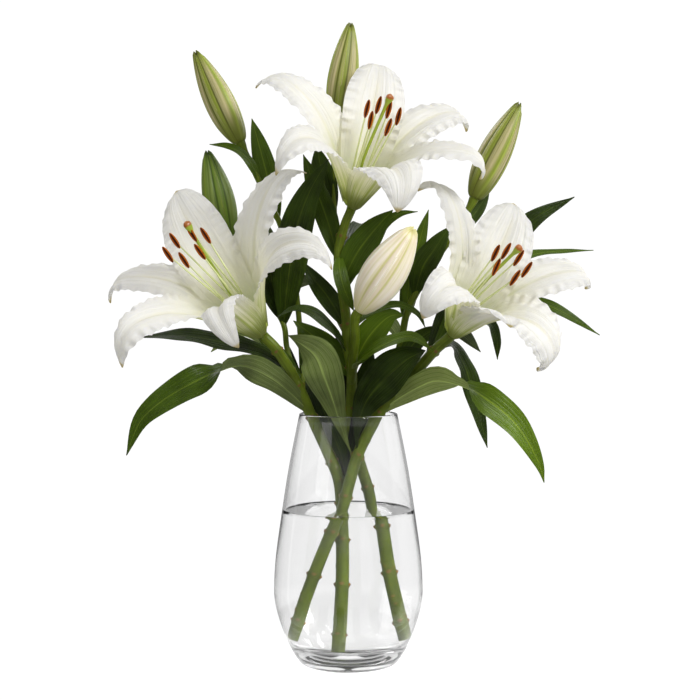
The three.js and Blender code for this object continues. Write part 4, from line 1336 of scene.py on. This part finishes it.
def water_profile():
    """The section of the water: up the glass from the inside floor, and a surface that climbs it.

    It reaches a little into the glass, so that no air lies between them.
    """
    inside = between(VASE_INSIDE)[::-1]
    edge = np.interp(WATER_LEVEL, inside[:, 1], inside[:, 0])
    wall = inside[inside[:, 1] < WATER_LEVEL]
    wall = wall + np.array([WATER_INTO_GLASS, 0]) * (wall[:, :1] > WALL_FROM)
    wall = wall - np.array([0, WATER_INTO_GLASS]) * (wall[:, :1] <= FLOOR_TO)
    distance = np.linspace(0, 1, 15) ** 2 * (edge - 0.5)
    climb = MENISCUS_HEIGHT * np.exp(-distance / (MENISCUS_WIDTH / 3))
    surface = vectors_of(edge + WATER_INTO_GLASS - distance, WATER_LEVEL + climb)
    profile = np.concatenate([wall, surface, [(LEAST_RADIUS, WATER_LEVEL)]])
    profile[:, 0] = np.maximum(profile[:, 0], LEAST_RADIUS)
    return profile


def settings_of(context):
    return context.scene.lily_settings


class LILY_OT_vase(bpy.types.Operator):
    """The clear glass vase, turned from its section, and the water in it"""

    bl_idname = "lilies.vase"
    bl_label = "Vase and water"

    def execute(self, context):
        glass = clear_material(
            "vase_glass", GLASS_IOR, GLASS_EDGE_SHADE, edge_start=0.86, wobble=0.01, passed=0.97
        )
        water = clear_material(
            "vase_water", WATER_IOR, WATER_EDGE_SHADE, edge_start=0.9, wobble=0.0, passed=0.98
        )
        make_piece("glass_vase", [turned_body(vase_profile())], glass, "clear_glass", "vase")
        make_piece("vase_water", [turned_body(water_profile())], water, "water", "water")
        return {"FINISHED"}


class LILY_OT_stalks(bpy.types.Operator):
    """The three stems with the stalks of their buds, one piece for each stem"""

    bl_idname = "lilies.stalks"
    bl_label = "Stems and stalks"

    def execute(self, context):
        material = stalk_material(settings_of(context).colours)
        draw = np.random.default_rng(SEED)
        for name, route in STEM_ROUTES.items():
            bloom = BLOOMS["top" if name == "middle" else name]
            route = route + stalk_end(bloom["base"], unit(bloom["axis"]))
            scars = leaf_scars(route_places(route, 2)[2] / MM, draw)
            radii = STEM_FOOT_RADIUS, STEM_TOP_RADIUS[name], STEM_SEAT_RADIUS
            bodies = [stalk_body(route, *radii, 24, scars)]
            for bud, side_route in BUD_STALKS[name].items():
                seat, tip = BUDS[bud]["base"], BUDS[bud]["tip"]
                side_route = side_route + stalk_end(seat, unit(np.subtract(tip, seat)))
                radii = np.array([1, BUD_STALK_GROWTH]) * BUD_STALK_RADIUS[bud]
                bodies.append(stalk_body(side_route, *radii, BUD_SEAT_RADIUS, 16))
            make_piece(f"stalks_{name}", bodies, material, "lily_green", f"stem_{name}")
        return {"FINISHED"}


class LILY_OT_leaves(bpy.types.Operator):
    """The leaves, one piece for each stem"""

    bl_idname = "lilies.leaves"
    bl_label = "Leaves"

    def execute(self, context):
        settings = settings_of(context)
        material = leaf_material(settings.colours)
        draw = np.random.default_rng(SEED + 1)
        for name, leaves in LEAVES.items():
            bodies = [leaf_body(leaf, settings.sizes, draw) for leaf in leaves]
            make_piece(f"leaves_{name}", bodies, material, "lily_green", f"stem_{name}")
        return {"FINISHED"}


class LILY_OT_tepals(bpy.types.Operator):
    """The six tepals of each bloom, and the green cup that they grow from"""

    bl_idname = "lilies.tepals"
    bl_label = "Tepals"

    def execute(self, context):
        settings = settings_of(context)
        white = tepal_material(settings.colours)
        green = cup_material(settings.colours)
        draw = np.random.default_rng(SEED + 2)
        for name, bloom in BLOOMS.items():
            shapes = zip(bloom["tepals"], ("inner", "outer") * 3)
            bodies = [tepal_body(bloom, shape, kind, settings.sizes, draw) for shape, kind in shapes]
            make_piece(f"tepals_{name}", bodies, white, "tepal_white", f"bloom_{name}_tepals")
            make_piece(f"cup_{name}", [cup_body(bloom)], green, "lily_green", f"bloom_{name}_tepals")
        return {"FINISHED"}


class LILY_OT_stamens(bpy.types.Operator):
    """The six filaments of each bloom and the anthers on them"""

    bl_idname = "lilies.stamens"
    bl_label = "Stamens"

    def execute(self, context):
        settings = settings_of(context)
        pale, rust = filament_material(settings.colours), anther_material(settings.colours)
        draw = np.random.default_rng(SEED + 3)
        for name, bloom in BLOOMS.items():
            node = f"bloom_{name}_stamens"
            filaments = [filament_body(bloom, k, settings.sizes) for k in range(STAMENS)]
            make_piece(f"filaments_{name}", filaments, pale, "stamen_rust", node)
            anthers = [anther_body(bloom, k, settings.sizes, draw) for k in range(STAMENS)]
            make_piece(f"anthers_{name}", anthers, rust, "stamen_rust", node)
        return {"FINISHED"}


class LILY_OT_pistils(bpy.types.Operator):
    """The pistil of each bloom: ovary, style and three-lobed stigma"""

    bl_idname = "lilies.pistils"
    bl_label = "Pistils"

    def execute(self, context):
        material = pistil_material(settings_of(context).colours)
        for name, bloom in BLOOMS.items():
            node = f"bloom_{name}_pistil"
            make_piece(f"pistil_{name}", [pistil_body(bloom)], material, "pistil_green", node)
        return {"FINISHED"}


class LILY_OT_buds(bpy.types.Operator):
    """The four green buds and the white one about to open"""

    bl_idname = "lilies.buds"
    bl_label = "Buds"

    def execute(self, context):
        c = settings_of(context).colours
        looks = {
            "green": (c.bud_green, c.bud_flank, c.bud_ridge, c.bud_seam),
            "young": (c.bud_young, c.bud_flank, c.bud_green, c.leaf_upper),
            "white": (c.bud_cream, c.tepal, c.tepal, c.bud_cream_rib),
        }
        materials = {
            look: bud_material(f"lily_{look}_bud", *tones, FLANK_SHARE[look])
            for look, tones in looks.items()
        }
        for name, shape in BUDS.items():
            slot = "bud_cream" if name == "white" else "bud_green"
            look = {"white": "white", "left": "young"}.get(name, "green")
            make_piece(f"closed_bud_{name}", [bud_body(shape)], materials[look], slot, f"bud_{name}")
        return {"FINISHED"}


class LILY_OT_stage(bpy.types.Operator):
    """The white floor, the soft studio lights, the bright surroundings and the camera"""

    bl_idname = "lilies.stage"
    bl_label = "Studio stage"

    def execute(self, context):
        scene = context.scene
        mesh = bpy.data.meshes.new("studio_floor")
        corners = [(-1, -1, 0), (1, -1, 0), (1, 1, 0), (-1, 1, 0)]
        mesh.from_pydata(corners, [], [(0, 1, 2, 3)])
        mesh.materials.append(floor_material())
        floor = add_object("studio_floor", mesh)
        floor.visible_transmission = False
        for name, (place, size, power) in LIGHTS.items():
            light = bpy.data.lights.new(name, "AREA")
            light.energy, light.size = power, size
            lamp = add_object(name, light)
            lamp.location = place
            aim = Vector(LIGHT_AIM) - Vector(place)
            lamp.rotation_euler = aim.to_track_quat("-Z", "Y").to_euler()
            # The fill light is kept out of reflections
            lamp.visible_glossy = name != "fill"
        scene.world = surroundings()
        self.camera(scene)
        scene.view_settings.view_transform = "Standard"
        return {"FINISHED"}

    def camera(self, scene):
        """The camera stands back from its target along a line that rises by its elevation."""
        lens = bpy.data.cameras.new("camera")
        lens.lens = CAMERA_LENS
        lens.sensor_width = CAMERA_SENSOR
        camera = add_object("camera", lens)
        elevation = np.radians(CAMERA_ELEVATION)
        back = Vector((0, -np.cos(elevation), np.sin(elevation)))
        camera.location = Vector(CAMERA_TARGET) + CAMERA_DISTANCE * back
        camera.rotation_euler = (-back).to_track_quat("-Z", "Y").to_euler()
        scene.camera = camera


OPERATORS = (
    LILY_OT_vase, LILY_OT_stalks, LILY_OT_leaves, LILY_OT_tepals, LILY_OT_stamens, LILY_OT_pistils,
    LILY_OT_buds, LILY_OT_stage,
)


class LILY_PT_panel(bpy.types.Panel):
    """Settings and steps of the lilies"""

    bl_idname = "LILY_PT_panel"
    bl_label = "Lilies in a vase"
    bl_space_type = "VIEW_3D"
    bl_region_type = "UI"
    bl_category = "Lilies"

    def draw(self, context):
        settings = settings_of(context)
        for group in (settings.sizes, settings.colours):
            box = self.layout.box()
            for name in group.__annotations__:
                box.prop(group, name)
        for operator in OPERATORS:
            self.layout.operator(operator.bl_idname)


CLASSES = (LilySizes, LilyColours, LilySettings, *OPERATORS, LILY_PT_panel)


def register():
    for cls in CLASSES:
        bpy.utils.register_class(cls)
    bpy.types.Scene.lily_settings = PointerProperty(type=LilySettings)


def unregister():
    del bpy.types.Scene.lily_settings
    for cls in reversed(CLASSES):
        bpy.utils.unregister_class(cls)


def main():
    """Registers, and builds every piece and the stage."""
    register()
    for operator in OPERATORS:
        getattr(bpy.ops.lilies, operator.bl_idname.split(".")[1])()


if __name__ == "__main__":
    main()
